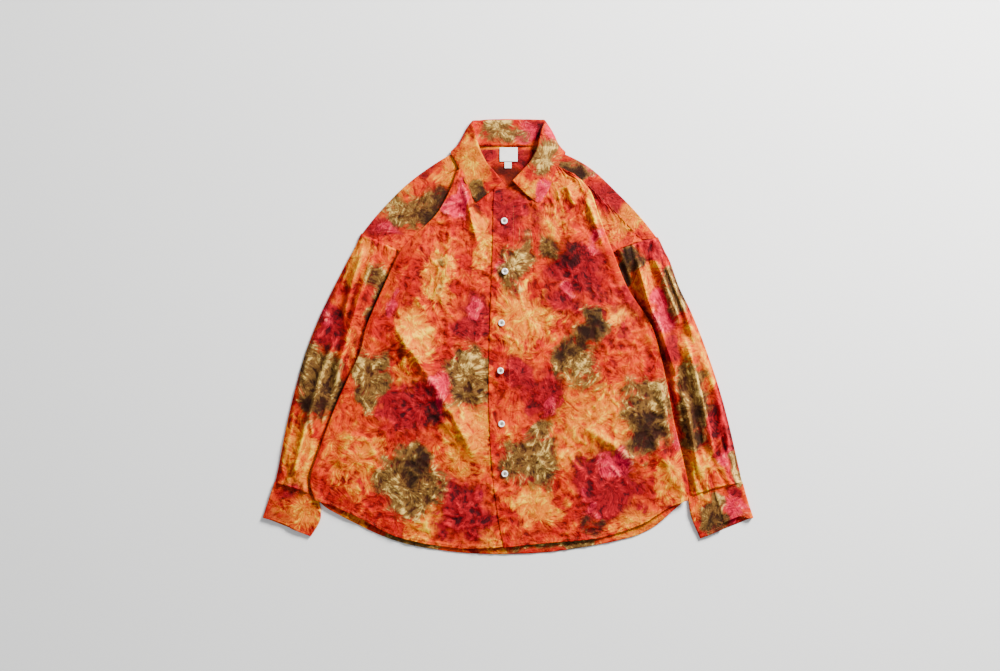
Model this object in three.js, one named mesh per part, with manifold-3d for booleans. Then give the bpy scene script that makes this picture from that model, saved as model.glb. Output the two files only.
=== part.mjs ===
// Long-sleeved collared shirt of thin crumpled cotton, laid out flat on its back and buttoned.
// Millimetres, +Z up. +X is the wearer's left, +Y runs from hem to collar, z = 0 is the surface.
// Left and right in the names are the wearer's.
import * as THREE from "three";
import { mergeVertices } from "three/addons/utils/BufferGeometryUtils.js";
import Module from "manifold-3d";

const wasm = await Module();
wasm.setup();
const { smoothstep, lerp, clamp } = THREE.MathUtils;

// ---- Driving sizes ----
const cloth = 1.2; // wall of one layer of cotton
const air = 0.6; // between two layers that lie on each other
const seam = 0.4; // between two pieces at a seam
const layer = cloth + air;
const sleeveStack = 2 * layer; // a flattened sleeve under the body lifts the body this much
const collarStack = layer; // the turned-down collar under the back neck lifts the yoke this much
const buttonWidth = 12;
const buttonHeight = 2.4;
const label = { x: 1, y: 336, width: 33, height: 26 };
const sizeTab = { x: 0, y: 316.5, width: 13, height: 11 };
const paper = 1; // wall of the label and its tab

// ---- Outlines, each from the collar end to the hem or cuff end ----
// Side folds of the body: the front rolls over here, first over the shoulder and then over the sleeve.
const leftFold = [
  { x: 118, y: 300 },
  { x: 148, y: 271 },
  { x: 166, y: 222 },
  { x: 190, y: 158 },
  { x: 220, y: 86 },
  { x: 260, y: 24 },
  { x: 281, y: -43 },
  { x: 303, y: -154 },
  { x: 320, y: -225 },
  { x: 330, y: -275 },
  { x: 329, y: -302 },
];
const rightFold = [
  { x: -92, y: 306 },
  { x: -106, y: 268 },
  { x: -130, y: 225 },
  { x: -167, y: 188 },
  { x: -196, y: 157 },
  { x: -226, y: 95 },
  { x: -259, y: 18 },
  { x: -272, y: -32 },
  { x: -311, y: -117 },
  { x: -341, y: -196 },
  { x: -362, y: -262 },
  { x: -353, y: -302 },
];
const underarmHeight = 157; // where the armholes meet the folds

// Shoulder silhouettes, where the yoke turns from the back to the front, from neck to sleeve head.
const leftShoulder = [
  { x: 66, y: 349 },
  { x: 99, y: 339 },
  { x: 152, y: 311 },
  { x: 207, y: 260 },
  { x: 244, y: 221 },
  { x: 276, y: 181 },
];
const rightShoulder = [
  { x: -66, y: 349 },
  { x: -99, y: 339 },
  { x: -144, y: 313 },
  { x: -191, y: 277 },
  { x: -237, y: 230 },
  { x: -270, y: 189 },
];
// Seams of the yoke to the gathered fronts.
const leftYokeSeam = [
  { x: 62, y: 330 },
  { x: 88, y: 316 },
  { x: 134, y: 290 },
  { x: 187, y: 241 },
  { x: 222, y: 205 },
  { x: 246, y: 179 },
];
const rightYokeSeam = [
  { x: -62, y: 330 },
  { x: -86, y: 315 },
  { x: -128, y: 291 },
  { x: -174, y: 254 },
  { x: -216, y: 211 },
  { x: -243, y: 180 },
];
// Armhole seams on the front, from the shoulder tip to the underarm.
const leftArmhole = [
  { x: 276, y: 181 },
  { x: 246, y: 178 },
  { x: 218, y: 169 },
  { x: 190, y: 156 },
];
const rightArmhole = [
  { x: -270, y: 189 },
  { x: -243, y: 179 },
  { x: -218, y: 168 },
  { x: -196, y: 156 },
];
const backNeck = [
  { x: -66, y: 349 },
  { x: -48, y: 348.5 },
  { x: 0, y: 350.5 },
  { x: 48, y: 348.5 },
  { x: 66, y: 349 },
];
const backYokeSeam = [
  { x: -196, y: 156 },
  { x: -150, y: 214 },
  { x: 0, y: 240 },
  { x: 150, y: 214 },
  { x: 190, y: 156 },
];
const leftNeckline = [
  { x: -26, y: 272 },
  { x: 0, y: 275 },
  { x: 24, y: 285 },
  { x: 45, y: 305 },
  { x: 61, y: 329 },
];
const rightNeckline = [
  { x: 8, y: 274 },
  { x: -20, y: 278 },
  { x: -42, y: 296 },
  { x: -61, y: 328 },
];
// Front edges: the left front buttons over the right one.
const leftEdge = [
  { x: -26, y: 272 },
  { x: -28, y: 160 },
  { x: -33, y: 10 },
  { x: -35, y: -117 },
  { x: -29, y: -240 },
  { x: -18, y: -330 },
  { x: -7, y: -389 },
];
const rightEdge = [
  { x: 8, y: 274 },
  { x: 4, y: 20 },
  { x: 3, y: -200 },
  { x: 8, y: -386 },
];
// Shirt-tail hems, from the front edge or the centre back outwards.
const leftHem = [
  { x: -7, y: -389 },
  { x: 61, y: -382 },
  { x: 170, y: -371 },
  { x: 244, y: -347 },
  { x: 296, y: -316 },
  { x: 329, y: -302 },
];
const rightHem = [
  { x: 8, y: -386 },
  { x: -89, y: -391 },
  { x: -200, y: -371 },
  { x: -274, y: -334 },
  { x: -320, y: -314 },
  { x: -353, y: -302 },
];
const backHem = [
  { x: -353, y: -302 },
  { x: -325, y: -322 },
  { x: -218, y: -374 },
  { x: -110, y: -397 },
  { x: 0, y: -402 },
  { x: 110, y: -394 },
  { x: 244, y: -365 },
  { x: 308, y: -318 },
  { x: 329, y: -302 },
];

// ---- Sleeves and cuffs: flattened tubes ----
// Each row is a section from its inner edge, under the body, to its outer one. bow is the rise of
// its middle towards the shoulder.
const leftSleeve = [
  { innerX: 192, innerY: 155, outerX: 276, outerY: 180, bow: 3.5 },
  { innerX: 206, innerY: 132, outerX: 290, outerY: 157, bow: 4 },
  { innerX: 212, innerY: 116, outerX: 300, outerY: 137, bow: 4 },
  { innerX: 203, innerY: 86, outerX: 316, outerY: 92, bow: 3 },
  { innerX: 202, innerY: 40, outerX: 339, outerY: 44, bow: 2 },
  { innerX: 217, innerY: -25, outerX: 364, outerY: -18, bow: 0 },
  { innerX: 248, innerY: -105, outerX: 390, outerY: -95, bow: 0 },
  { innerX: 276, innerY: -175, outerX: 409, outerY: -165, bow: 0 },
  { innerX: 303, innerY: -240, outerX: 424, outerY: -230, bow: 2 },
  { innerX: 333, innerY: -300, outerX: 433, outerY: -271, bow: 3 },
];
const rightSleeve = [
  { innerX: -198, innerY: 153, outerX: -270, outerY: 187, bow: -2.5 },
  { innerX: -211, innerY: 132, outerX: -284, outerY: 162, bow: -3 },
  { innerX: -219, innerY: 116, outerX: -298, outerY: 137, bow: -2 },
  { innerX: -215, innerY: 86, outerX: -321, outerY: 92, bow: 0 },
  { innerX: -222, innerY: 30, outerX: -349, outerY: 34, bow: 0 },
  { innerX: -246, innerY: -40, outerX: -376, outerY: -36, bow: 0 },
  { innerX: -272, innerY: -105, outerX: -396, outerY: -108, bow: 0 },
  { innerX: -297, innerY: -170, outerX: -411, outerY: -172, bow: 0 },
  { innerX: -322, innerY: -236, outerX: -424, outerY: -240, bow: -2 },
  { innerX: -349, innerY: -303, outerX: -431, outerY: -271, bow: -3 },
];
// The wrist edge of the upper layer stands back from the lower one by mouth.
const leftCuff = [
  { innerX: 333.5, innerY: -301, outerX: 433.5, outerY: -272, bow: 3, mouth: 0 },
  { innerX: 338, innerY: -332, outerX: 443, outerY: -303, bow: 2, mouth: 0 },
  { innerX: 355, innerY: -373, outerX: 453, outerY: -334, bow: 0, mouth: 12 },
];
const rightCuff = [
  { innerX: -350, innerY: -304.5, outerX: -431.5, outerY: -272, bow: -3, mouth: 0 },
  { innerX: -346, innerY: -336, outerX: -443, outerY: -303, bow: -2, mouth: 0 },
  { innerX: -364, innerY: -369, outerX: -453, outerY: -334, bow: 0, mouth: 3 },
];

// ---- Collar: points round the neck from the right front end to the left one ----
// The neck line is where it is sewn on, the roll line its fold, the turn line the outside of the
// leaf and the tip line its free edge.
const collarNeck = [
  { x: -18, y: 280, z: 6.4 },
  { x: -36, y: 297, z: 6.4 },
  { x: -51, y: 315, z: 6.4 },
  { x: -58, y: 334, z: 6.4 },
  { x: -60, y: 346, z: 6.4 },
  { x: -57, y: 352.5, z: 5 },
  { x: -44, y: 351.6, z: 2.6 },
  { x: 0, y: 352, z: 2.6 },
  { x: 44, y: 351.6, z: 2.6 },
  { x: 57, y: 352.5, z: 5 },
  { x: 60, y: 346, z: 6.4 },
  { x: 58, y: 334, z: 6.4 },
  { x: 49, y: 314, z: 6.4 },
  { x: 32, y: 297, z: 6.4 },
  { x: 16, y: 284, z: 6.4 },
];
const collarRoll = [
  { x: -9, y: 288, z: 13 },
  { x: -20, y: 301, z: 15 },
  { x: -37, y: 321, z: 17 },
  { x: -50, y: 345, z: 18 },
  { x: -55, y: 360, z: 18 },
  { x: -60, y: 384, z: 15 },
  { x: -62, y: 398, z: 9 },
  { x: 0, y: 400.4, z: 8 },
  { x: 62, y: 398, z: 9 },
  { x: 60, y: 385, z: 15 },
  { x: 56, y: 364, z: 18 },
  { x: 51, y: 345, z: 18 },
  { x: 40, y: 325, z: 17 },
  { x: 26, y: 309, z: 15 },
  { x: 6, y: 288, z: 13 },
];
const collarTurn = [
  { x: -35, y: 266, z: 10 },
  { x: -49, y: 283, z: 11 },
  { x: -62, y: 306, z: 12 },
  { x: -76, y: 334, z: 13 },
  { x: -86, y: 354, z: 11 },
  { x: -87, y: 369, z: 1.6 },
  { x: -68, y: 396, z: 1.2 },
  { x: 0, y: 400.4, z: 0.6 },
  { x: 68, y: 396, z: 1.2 },
  { x: 90, y: 370, z: 1.6 },
  { x: 87, y: 354, z: 11 },
  { x: 77, y: 334, z: 13 },
  { x: 64, y: 306, z: 12 },
  { x: 49, y: 283, z: 11 },
  { x: 33, y: 262, z: 10 },
];
const collarTip = [
  { x: -59, y: 246, z: 8.6 },
  { x: -71, y: 267, z: 8.4 },
  { x: -83, y: 292, z: 8.4 },
  { x: -97, y: 323, z: 8.6 },
  { x: -105, y: 341, z: 5.4 },
  { x: -84, y: 350, z: 0.6 },
  { x: -58, y: 336, z: 0.6 },
  { x: 0, y: 330, z: 0.6 },
  { x: 58, y: 336, z: 0.6 },
  { x: 85, y: 350, z: 0.6 },
  { x: 106, y: 341, z: 5.4 },
  { x: 98, y: 326, z: 8.6 },
  { x: 86, y: 299, z: 8.4 },
  { x: 74, y: 269, z: 8.4 },
  { x: 57, y: 243, z: 8.6 },
];

// ---- Largest folds ----
// Each runs from its start past its bend to its end. before and after are its half widths on the
// right and left of that way.
const bodyFolds = [
  { x0: 150, y0: 262, x1: 160, y1: 214, x2: 184, y2: 160, height: 6, before: 11, after: 9 },
  { x0: 133, y0: 206, x1: 116, y1: 165, x2: 74, y2: 138, height: 5, before: 14, after: 20 },
  { x0: 216, y0: 58, x1: 140, y1: -30, x2: 68, y2: -173, height: 7, before: 26, after: 18 },
  { x0: 133, y0: -164, x1: 180, y1: -190, x2: 263, y2: -247, height: 5, before: 16, after: 16 },
  { x0: 264, y0: -180, x1: 296, y1: -225, x2: 306, y2: -285, height: 4, before: 13, after: 13 },
  { x0: 106, y0: 282, x1: 114, y1: 262, x2: 124, y2: 236, height: 4, before: 8, after: 8 },
  { x0: -83, y0: 288, x1: -72, y1: 234, x2: -54, y2: 160, height: 5, before: 9, after: 9 },
  { x0: -104, y0: 240, x1: -106, y1: 170, x2: -122, y2: 60, height: 4, before: 14, after: 12 },
  { x0: -227, y0: 40, x1: -110, y1: -110, x2: -48, y2: -255, height: 8, before: 18, after: 24 },
  { x0: -283, y0: -170, x1: -300, y1: -205, x2: -315, y2: -246, height: 4, before: 12, after: 12 },
  { x0: -134, y0: 208, x1: -185, y1: 140, x2: -238, y2: 30, height: 4, before: 13, after: 14 },
];
const leftSleeveFolds = [
  { x0: 233, y0: 158, x1: 250, y1: 60, x2: 318, y2: -90, height: 7, before: 12, after: 10 },
  { x0: 262, y0: 160, x1: 292, y1: 90, x2: 322, y2: 10, height: 8, before: 11, after: 10 },
  { x0: 322, y0: 10, x1: 352, y1: -90, x2: 384, y2: -240, height: 8, before: 12, after: 10 },
  { x0: 318, y0: -90, x1: 336, y1: -170, x2: 352, y2: -272, height: 6, before: 13, after: 11 },
  { x0: 366, y0: -30, x1: 390, y1: -110, x2: 412, y2: -230, height: 5, before: 10, after: 8 },
];
const rightSleeveFolds = [
  { x0: -262, y0: 166, x1: -290, y1: 100, x2: -305, y2: 12, height: 7, before: 10, after: 12 },
  { x0: -240, y0: 160, x1: -282, y1: 60, x2: -326, y2: -130, height: 8, before: 11, after: 11 },
  { x0: -305, y0: 12, x1: -350, y1: -60, x2: -376, y2: -210, height: 6, before: 12, after: 12 },
  { x0: -362, y0: -130, x1: -384, y1: -210, x2: -398, y2: -270, height: 6, before: 9, after: 9 },
];

// ---- Buttons, down the left front ----
const buttons = [
  { x: -7, y: 213 },
  { x: -6, y: 120 },
  { x: -12, y: 25 },
  { x: -14, y: -63 },
  { x: -12, y: -161 },
  { x: -6, y: -253 },
];

// ---- Curves ----
const point = (row) => new THREE.Vector2(row.x, row.y);
const curve = (rows) => new THREE.SplineCurve(rows.map(point));

// The stretch of a curve between two shares of its length.
function stretch(line, from, to, steps = 24) {
  const points = [];
  for (let i = 0; i <= steps; i++) points.push(line.getPointAt(lerp(from, to, i / steps)));
  return new THREE.SplineCurve(points);
}

// The share of a falling curve's length at which it reaches a height y.
function shareAt(line, y) {
  let [low, high] = [0, 1];
  for (let i = 0; i < 20; i++) {
    const middle = (low + high) / 2;
    if (line.getPointAt(middle).y > y) low = middle;
    else high = middle;
  }
  return low;
}

// Several curves end to end, as one.
function chain(...lines) {
  const points = lines.flatMap((line, k) => line.getSpacedPoints(20).slice(k ? 1 : 0));
  return new THREE.SplineCurve(points);
}

// Moves a point of the plan towards a centre, for the gap of a seam.
function eased(p, centre, by) {
  const away = p.clone().sub(centre);
  return p.clone().sub(away.setLength(Math.min(by, away.length())));
}

// A grid of plan points blended between four boundary curves (a Coons patch). top and bottom run
// from left to right, left and right from top to bottom.
function patch({ left, right, top, bottom }, columns, rows) {
  const corners = [top.getPointAt(0), top.getPointAt(1), bottom.getPointAt(0), bottom.getPointAt(1)];
  const middle = corners.reduce((sum, p) => sum.add(p), new THREE.Vector2()).divideScalar(4);
  const grid = [];
  for (let r = 0; r <= rows; r++) {
    const v = r / rows;
    const line = [];
    for (let c = 0; c <= columns; c++) {
      const u = c / columns;
      const p = new THREE.Vector2()
        .addScaledVector(left.getPointAt(v), 1 - u)
        .addScaledVector(right.getPointAt(v), u)
        .addScaledVector(top.getPointAt(u), 1 - v)
        .addScaledVector(bottom.getPointAt(u), v)
        .addScaledVector(corners[0], -(1 - u) * (1 - v))
        .addScaledVector(corners[1], -u * (1 - v))
        .addScaledVector(corners[2], -(1 - u) * v)
        .addScaledVector(corners[3], -u * v);
      const rim = r === 0 || c === 0 || r === rows || c === columns;
      line.push(rim ? eased(p, middle, seam / 2) : p);
    }
    grid.push(line);
  }
  return grid;
}

// x of an outline at a height y, by straight lines between its rows.
function xAt(rows, y) {
  const last = rows.length - 1;
  const k = clamp(rows.findIndex((row) => row.y <= y), 1, last);
  const below = y < rows[last].y ? last : k;
  const upper = rows[below - 1];
  const lower = rows[below];
  return lerp(upper.x, lower.x, clamp((upper.y - y) / (upper.y - lower.y), 0, 1));
}

// ---- Heights ----
// Height of a set of folds at a point: a soft ridge round each one's line, faded at both ends.
function foldsOf(rows) {
  return rows.map((row) => ({
    ...row,
    line: new THREE.QuadraticBezierCurve(
      new THREE.Vector2(row.x0, row.y0),
      new THREE.Vector2(row.x1, row.y1),
      new THREE.Vector2(row.x2, row.y2),
    ).getPoints(12),
  }));
}

function relief(folds, x, y) {
  let height = 0;
  for (const { line, height: top, before, after } of folds) {
    let nearest = { distance: Infinity, along: 0, side: 1 };
    for (let k = 0; k < line.length - 1; k++) {
      const way = line[k + 1].clone().sub(line[k]);
      const out = new THREE.Vector2(x, y).sub(line[k]);
      const share = clamp(out.dot(way) / way.lengthSq(), 0, 1);
      const distance = out.clone().addScaledVector(way, -share).length();
      if (distance < nearest.distance)
        nearest = { distance, along: (k + share) / (line.length - 1), side: way.cross(out) };
    }
    const width = nearest.side < 0 ? before : after;
    const ends = smoothstep(nearest.along, 0, 0.2) * (1 - smoothstep(nearest.along, 0.75, 1));
    height = Math.max(height, top * Math.exp(-((nearest.distance / width) ** 2)) * ends);
  }
  return height;
}

const bodyRidges = foldsOf(bodyFolds);
const leftSleeveRidges = foldsOf(leftSleeveFolds);
const rightSleeveRidges = foldsOf(rightSleeveFolds);
const innerEdge = (sleeve) => sleeve.slice(3).map((row) => ({ x: row.innerX, y: row.innerY }));
const leftInner = innerEdge(leftSleeve);
const rightInner = innerEdge(rightSleeve);

// How much the sleeve under the body, and the collar under the neck, lift the back. A layer over
// it starts to rise earlier, by spread.
function backLevel(x, y, spread = 0) {
  const reach = Math.abs(x) - Math.abs(xAt(x > 0 ? leftInner : rightInner, y)) + spread;
  const onSleeve = smoothstep(reach, -78, -36) * (1 - smoothstep(y - spread, 128, 160));
  const onCollar = smoothstep(y + spread, 296, 320) * (1 - smoothstep(Math.abs(x), 112, 150));
  return sleeveStack * onSleeve + collarStack * onCollar;
}

const frontSpread = 26;
const underFront = (x, y) => backLevel(x, y, frontSpread) + layer;

// Underside of the main sheet of a front. edge is 1 along its rolled side fold.
function frontLevel(x, y, edge) {
  const shoulder = smoothstep(y, 120, 152) * (1 - smoothstep(y, 262, 290));
  const ridge = 2.2 * smoothstep(edge, 0.7, 0.86) * shoulder;
  const flat = 1 - smoothstep(edge, 0.93, 1) * (1 - smoothstep(y, 120, 152));
  return underFront(x, y) + ridge + relief(bodyRidges, x, y) * flat;
}

const onPlacket = (x) => layer * (1 - smoothstep(x, 20, 44));

// ---- Solids ----
// A closed wall between two equal grids of points. A ring closes on itself round its columns.
function shell(outer, inner, ring = false) {
  const rows = outer.length;
  const columns = outer[0].length;
  const last = ring ? columns : columns - 1;
  const positions = [...outer.flat(), ...inner.flat()].flatMap((p) => [p.x, p.y, p.z]);
  const at = (side, r, c) => side * rows * columns + r * columns + (c % columns);
  const index = [];
  const quad = (a, b, c, d) => index.push(a, b, c, a, c, d);
  for (let r = 0; r < rows - 1; r++) {
    for (let c = 0; c < last; c++) {
      quad(at(0, r, c), at(0, r, c + 1), at(0, r + 1, c + 1), at(0, r + 1, c));
      quad(at(1, r, c), at(1, r + 1, c), at(1, r + 1, c + 1), at(1, r, c + 1));
    }
  }
  for (let c = 0; c < last; c++) {
    const end = rows - 1;
    quad(at(0, 0, c), at(1, 0, c), at(1, 0, c + 1), at(0, 0, c + 1));
    quad(at(0, end, c), at(0, end, c + 1), at(1, end, c + 1), at(1, end, c));
  }
  for (let r = 0; r < rows - 1 && !ring; r++) {
    quad(at(0, r, 0), at(0, r + 1, 0), at(1, r + 1, 0), at(1, r, 0));
    quad(at(0, r, last), at(1, r, last), at(1, r + 1, last), at(0, r + 1, last));
  }
  if (volume(positions, index) < 0) index.reverse();
  const geometry = new THREE.BufferGeometry();
  geometry.setAttribute("position", new THREE.Float32BufferAttribute(positions, 3));
  geometry.setIndex(index);
  return geometry;
}

function volume(positions, index) {
  const corner = (k) => new THREE.Vector3().fromArray(positions, 3 * index[k]);
  let sum = 0;
  for (let k = 0; k < index.length; k += 3) sum += corner(k).dot(corner(k + 1).cross(corner(k + 2)));
  return sum;
}

// One layer of cloth over a plan grid, its underside at level(x, y, u, v).
function sheet(grid, level, thickness = cloth) {
  const side = (rise) =>
    grid.map((line, r) =>
      line.map(({ x, y }, c) => {
        const z = level(x, y, c / (line.length - 1), r / (grid.length - 1));
        return new THREE.Vector3(x, y, z + rise);
      }),
    );
  return shell(side(thickness), side(0));
}

// Joins closed geometries into one.
function join(...geometries) {
  const solids = geometries.map((geometry) => {
    geometry.deleteAttribute("normal");
    geometry.deleteAttribute("uv");
    const merged = mergeVertices(geometry, 1e-3);
    return new wasm.Manifold(
      new wasm.Mesh({
        numProp: 3,
        vertProperties: merged.attributes.position.array,
        triVerts: new Uint32Array(merged.index.array),
      }),
    );
  });
  const made = solids.reduce((all, one) => all.add(one)).getMesh();
  const geometry = new THREE.BufferGeometry();
  geometry.setAttribute("position", new THREE.BufferAttribute(made.vertProperties, 3));
  geometry.setIndex(new THREE.BufferAttribute(made.triVerts, 1));
  return geometry;
}

// A path through the given corners, each rounded off by a bend that starts reach before it.
function roundedPath(corners, reach, runSteps, bendSteps) {
  const path = [];
  let from = corners[0];
  for (let k = 1; k < corners.length; k++) {
    const inner = k < corners.length - 1;
    const share = inner ? Math.min(reach / corners[k].distanceTo(corners[k - 1]), 0.45) : 0;
    const to = corners[k].clone().lerp(corners[k - 1], share);
    for (let i = 0; i < runSteps; i++) path.push(from.clone().lerp(to, i / runSteps));
    if (!inner) {
      path.push(to);
      break;
    }
    const onward = Math.min(reach / corners[k].distanceTo(corners[k + 1]), 0.45);
    const next = corners[k].clone().lerp(corners[k + 1], onward);
    const bend = new THREE.QuadraticBezierCurve3(to, corners[k], next);
    for (let i = 0; i < bendSteps; i++) path.push(bend.getPoint(i / bendSteps));
    from = next;
  }
  return path;
}

// A wall of even thickness round a curved grid of points, half of it on each side.
function wallRound(grid, thickness) {
  const side = (sign) =>
    grid.map((line, r) =>
      line.map((p, c) => {
        const rowWay = (grid[r + 1] ?? line)[c].clone().sub((grid[r - 1] ?? line)[c]);
        const columnWay = (line[c + 1] ?? p).clone().sub(line[c - 1] ?? p);
        const out = rowWay.cross(columnWay).setLength((sign * thickness) / 2);
        const moved = p.clone().add(out);
        moved.z = Math.max(0, moved.z);
        return moved;
      }),
    );
  return shell(side(1), side(-1));
}

// ---- Pieces ----
const foldCurve = { left: curve(leftFold), right: curve(rightFold) };
const yokeSeamCurve = { left: curve(leftYokeSeam), right: curve(rightYokeSeam) };
const shoulderCurve = { left: curve(leftShoulder), right: curve(rightShoulder) };
const armholeCurve = { left: curve(leftArmhole), right: curve(rightArmhole) };

// The seam across the back between two ends, moved by rise.
function backYokeCurve(from, to, rise) {
  const middle = backYokeSeam.slice(1, -1).map((row) => new THREE.Vector2(row.x, row.y + rise));
  return new THREE.SplineCurve([from.getPointAt(0), ...middle, to.getPointAt(0)]);
}

function back() {
  const left = stretch(foldCurve.right, shareAt(foldCurve.right, underarmHeight), 1);
  const right = stretch(foldCurve.left, shareAt(foldCurve.left, underarmHeight), 1);
  const edges = { left, right, top: backYokeCurve(left, right, 0), bottom: curve(backHem) };
  return sheet(patch(edges, 16, 14), (x, y) => backLevel(x, y));
}

// Front of the body: its main sheet, and the part beyond the side fold that reaches the armhole.
function front(side, edge, neckline, hem, placket) {
  const main = {
    left: edge,
    right: foldCurve[side],
    top: chain(neckline, stretch(yokeSeamCurve[side], 0.02, side === "left" ? 0.27 : 0.13)),
    bottom: hem,
  };
  const mainLevel = (x, y, u) => frontLevel(x, y, u) + placket(x);
  const sign = side === "left" ? 1 : -1;
  const tucked = stretch(foldCurve[side], 0.02, shareAt(foldCurve[side], underarmHeight + 3));
  const inside = tucked.getSpacedPoints(8).map((p) => new THREE.Vector2(p.x - sign * 14, p.y + 2));
  const yokeStart = side === "left" ? 0.18 : 0.06;
  const sleeveSide = stretch(armholeCurve[side], 0.94, 0.4).getSpacedPoints(8);
  const lifted = [inside[8], ...sleeveSide.map((p) => new THREE.Vector2(p.x, p.y + 1.2))];
  const yokeSide = stretch(yokeSeamCurve[side], yokeStart, 0.97).getSpacedPoints(8);
  const outer = {
    left: new THREE.SplineCurve([yokeSide[0], ...inside.slice(1)]),
    right: new THREE.SplineCurve([yokeSide[8], lifted[9]]),
    top: new THREE.SplineCurve(yokeSide),
    bottom: new THREE.SplineCurve(lifted),
  };
  return join(sheet(patch(main, 14, 19), mainLevel), sheet(patch(outer, 8, 4), underFront));
}

// Yoke: the back plate inside the neck, and on each shoulder a wrap over the fold to the front.
function yokeWrap(side) {
  const across = roundedShoulder(side);
  return wallRound(across, cloth - 0.2);
}

function roundedShoulder(side) {
  const steps = 9;
  const grid = [];
  for (let k = 0; k <= steps; k++) {
    const shoulder = shoulderCurve[side].getPointAt(k / steps);
    const front = yokeSeamCurve[side].getPointAt(k / steps);
    const way = front.clone().sub(shoulder);
    const inset = shoulder.clone().addScaledVector(way, 0.4);
    const gap = front.clone().addScaledVector(way, -seam / way.length());
    const low = backLevel(shoulder.x, shoulder.y) + cloth / 2;
    grid.push(
      roundedPath(
        [
          new THREE.Vector3(gap.x, gap.y, low + layer),
          new THREE.Vector3(shoulder.x, shoulder.y, low + layer),
          new THREE.Vector3(shoulder.x, shoulder.y, low),
          new THREE.Vector3(inset.x, inset.y, low),
        ],
        0.9,
        2,
        2,
      ),
    );
  }
  return grid;
}

function yoke() {
  const middle = new THREE.Vector2(0, 262);
  const pull = (line, by) =>
    new THREE.SplineCurve(line.getSpacedPoints(20).map((p) => eased(p, middle, by)));
  const [left, right] = [armholeCurve.right, armholeCurve.left].map((line) => stretch(line, 0.02, 0.95));
  const ends = [armholeCurve.right, armholeCurve.left].map((line) => stretch(line, 0.95, 1));
  const edges = {
    left,
    right,
    top: chain(
      pull(stretch(shoulderCurve.right, 0.99, 0), 1.2),
      curve(backNeck),
      pull(stretch(shoulderCurve.left, 0, 0.99), 1.2),
    ),
    bottom: backYokeCurve(...ends, 3 * seam),
  };
  return join(
    sheet(patch(edges, 26, 3), (x, y) => backLevel(x, y)),
    yokeWrap("left"),
    yokeWrap("right"),
  );
}

// A flattened tube: each section runs along the surface from its outer edge to its inner one and
// back over the top.
function tube(rows, ridges, visibleFrom, topSteps, rings) {
  const track = (key) => rows.map((row, k) => new THREE.Vector2(k, row[key] ?? 0));
  const values = (key) => new THREE.SplineCurve(track(key));
  const tracks = Object.fromEntries(
    ["innerX", "innerY", "outerX", "outerY", "bow", "mouth"].map((key) => [key, values(key)]),
  );
  const last = rows[rows.length - 1];
  const first = rows[rows.length - 2];
  const down = new THREE.Vector2(last.outerX - first.outerX, last.outerY - first.outerY).normalize();
  const outer = [];
  const inner = [];
  for (let k = 0; k <= rings; k++) {
    const share = k / rings;
    const value = (key) => tracks[key].getPoint(share).y;
    const from = new THREE.Vector2(value("innerX"), value("innerY"));
    const to = new THREE.Vector2(value("outerX"), value("outerY"));
    const width = from.distanceTo(to);
    const out = new THREE.Vector2(from.y - to.y, to.x - from.x).divideScalar(width);
    const place = (t) =>
      from.clone().lerp(to, t).addScaledVector(out, value("bow") * 4 * t * (1 - t));
    const topOf = (t) => {
      const { x, y } = place(t);
      const seen = smoothstep(Math.abs(x) - Math.abs(xAt(visibleFrom, y)), 6, 20);
      const ends = smoothstep((1 - t) * width, 1, 11) * smoothstep(share, 0, 0.06);
      return cloth + layer + relief(ridges, x, y) * seen * ends * (1 - smoothstep(share, 0.97, 1));
    };
    const setBack = (t) => -value("mouth") * smoothstep(t, 0.4, 0.5) * (1 - smoothstep(t, 0.7, 0.98));
    const edge = 1.6 / width;
    const wall = cloth / width;
    const ringOf = (inset, floor, drop) => {
      const line = [];
      const add = (t, z, shift = 0) => {
        const p = place(inset + t * (1 - 2 * inset)).addScaledVector(down, shift);
        line.push(new THREE.Vector3(p.x, p.y, z));
      };
      for (let i = 0; i <= 4; i++) add(lerp(1 - edge, edge, i / 4), floor);
      add(0, (cloth + layer) / 2);
      for (let i = 0; i <= topSteps; i++) {
        const t = lerp(edge, 1 - edge, i / topSteps);
        add(t, topOf(t) - drop, setBack(t));
      }
      add(1, (cloth + layer) / 2);
      return line;
    };
    outer.push(ringOf(0, 0, 0));
    inner.push(ringOf(wall, cloth, cloth));
  }
  return shell(outer, inner, true);
}

function collar() {
  const steps = 26;
  const tracks = [collarNeck, collarRoll, collarTurn, collarTip].map(
    (rows) => new THREE.CatmullRomCurve3(rows.map(({ x, y, z }) => new THREE.Vector3(x, y, z))),
  );
  const grid = [];
  for (let k = 0; k <= steps; k++) {
    const corners = tracks.map((track) => track.getPoint(k / steps));
    grid.push(roundedPath(corners, 5, 2, 2));
  }
  return wallRound(grid, cloth);
}

// A flat patch sewn inside the neck.
function flatPatch({ x, y, width, height }) {
  const line = (x0, y0, x1, y1) =>
    new THREE.SplineCurve([new THREE.Vector2(x0, y0), new THREE.Vector2(x1, y1)]);
  const [west, east, south, north] = [x - width / 2, x + width / 2, y - height / 2, y + height / 2];
  const edges = {
    left: line(west, north, west, south),
    right: line(east, north, east, south),
    top: line(west, north, east, north),
    bottom: line(west, south, east, south),
  };
  return sheet(patch(edges, 4, 4), (px, py) => backLevel(px, py) + cloth + seam, paper);
}

// A shirt button: a turned disc with a raised rim round a shallow dish.
function button({ x, y }) {
  const radius = buttonWidth / 2;
  const profile = [
    { share: 0, z: 0 },
    { share: 0.78, z: 0 },
    { share: 1, z: 0.45 },
    { share: 0.96, z: 0.85 },
    { share: 0.74, z: 1 },
    { share: 0.58, z: 0.66 },
    { share: 0, z: 0.6 },
  ].map(({ share, z }) => new THREE.Vector2(share * radius, z * buttonHeight));
  const geometry = new THREE.LatheGeometry(profile, 16);
  geometry.rotateX(Math.PI / 2);
  const under = frontLevel(x, y, 0) + onPlacket(x) + cloth;
  geometry.translate(x, y, under + 0.6);
  return geometry;
}

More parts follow.
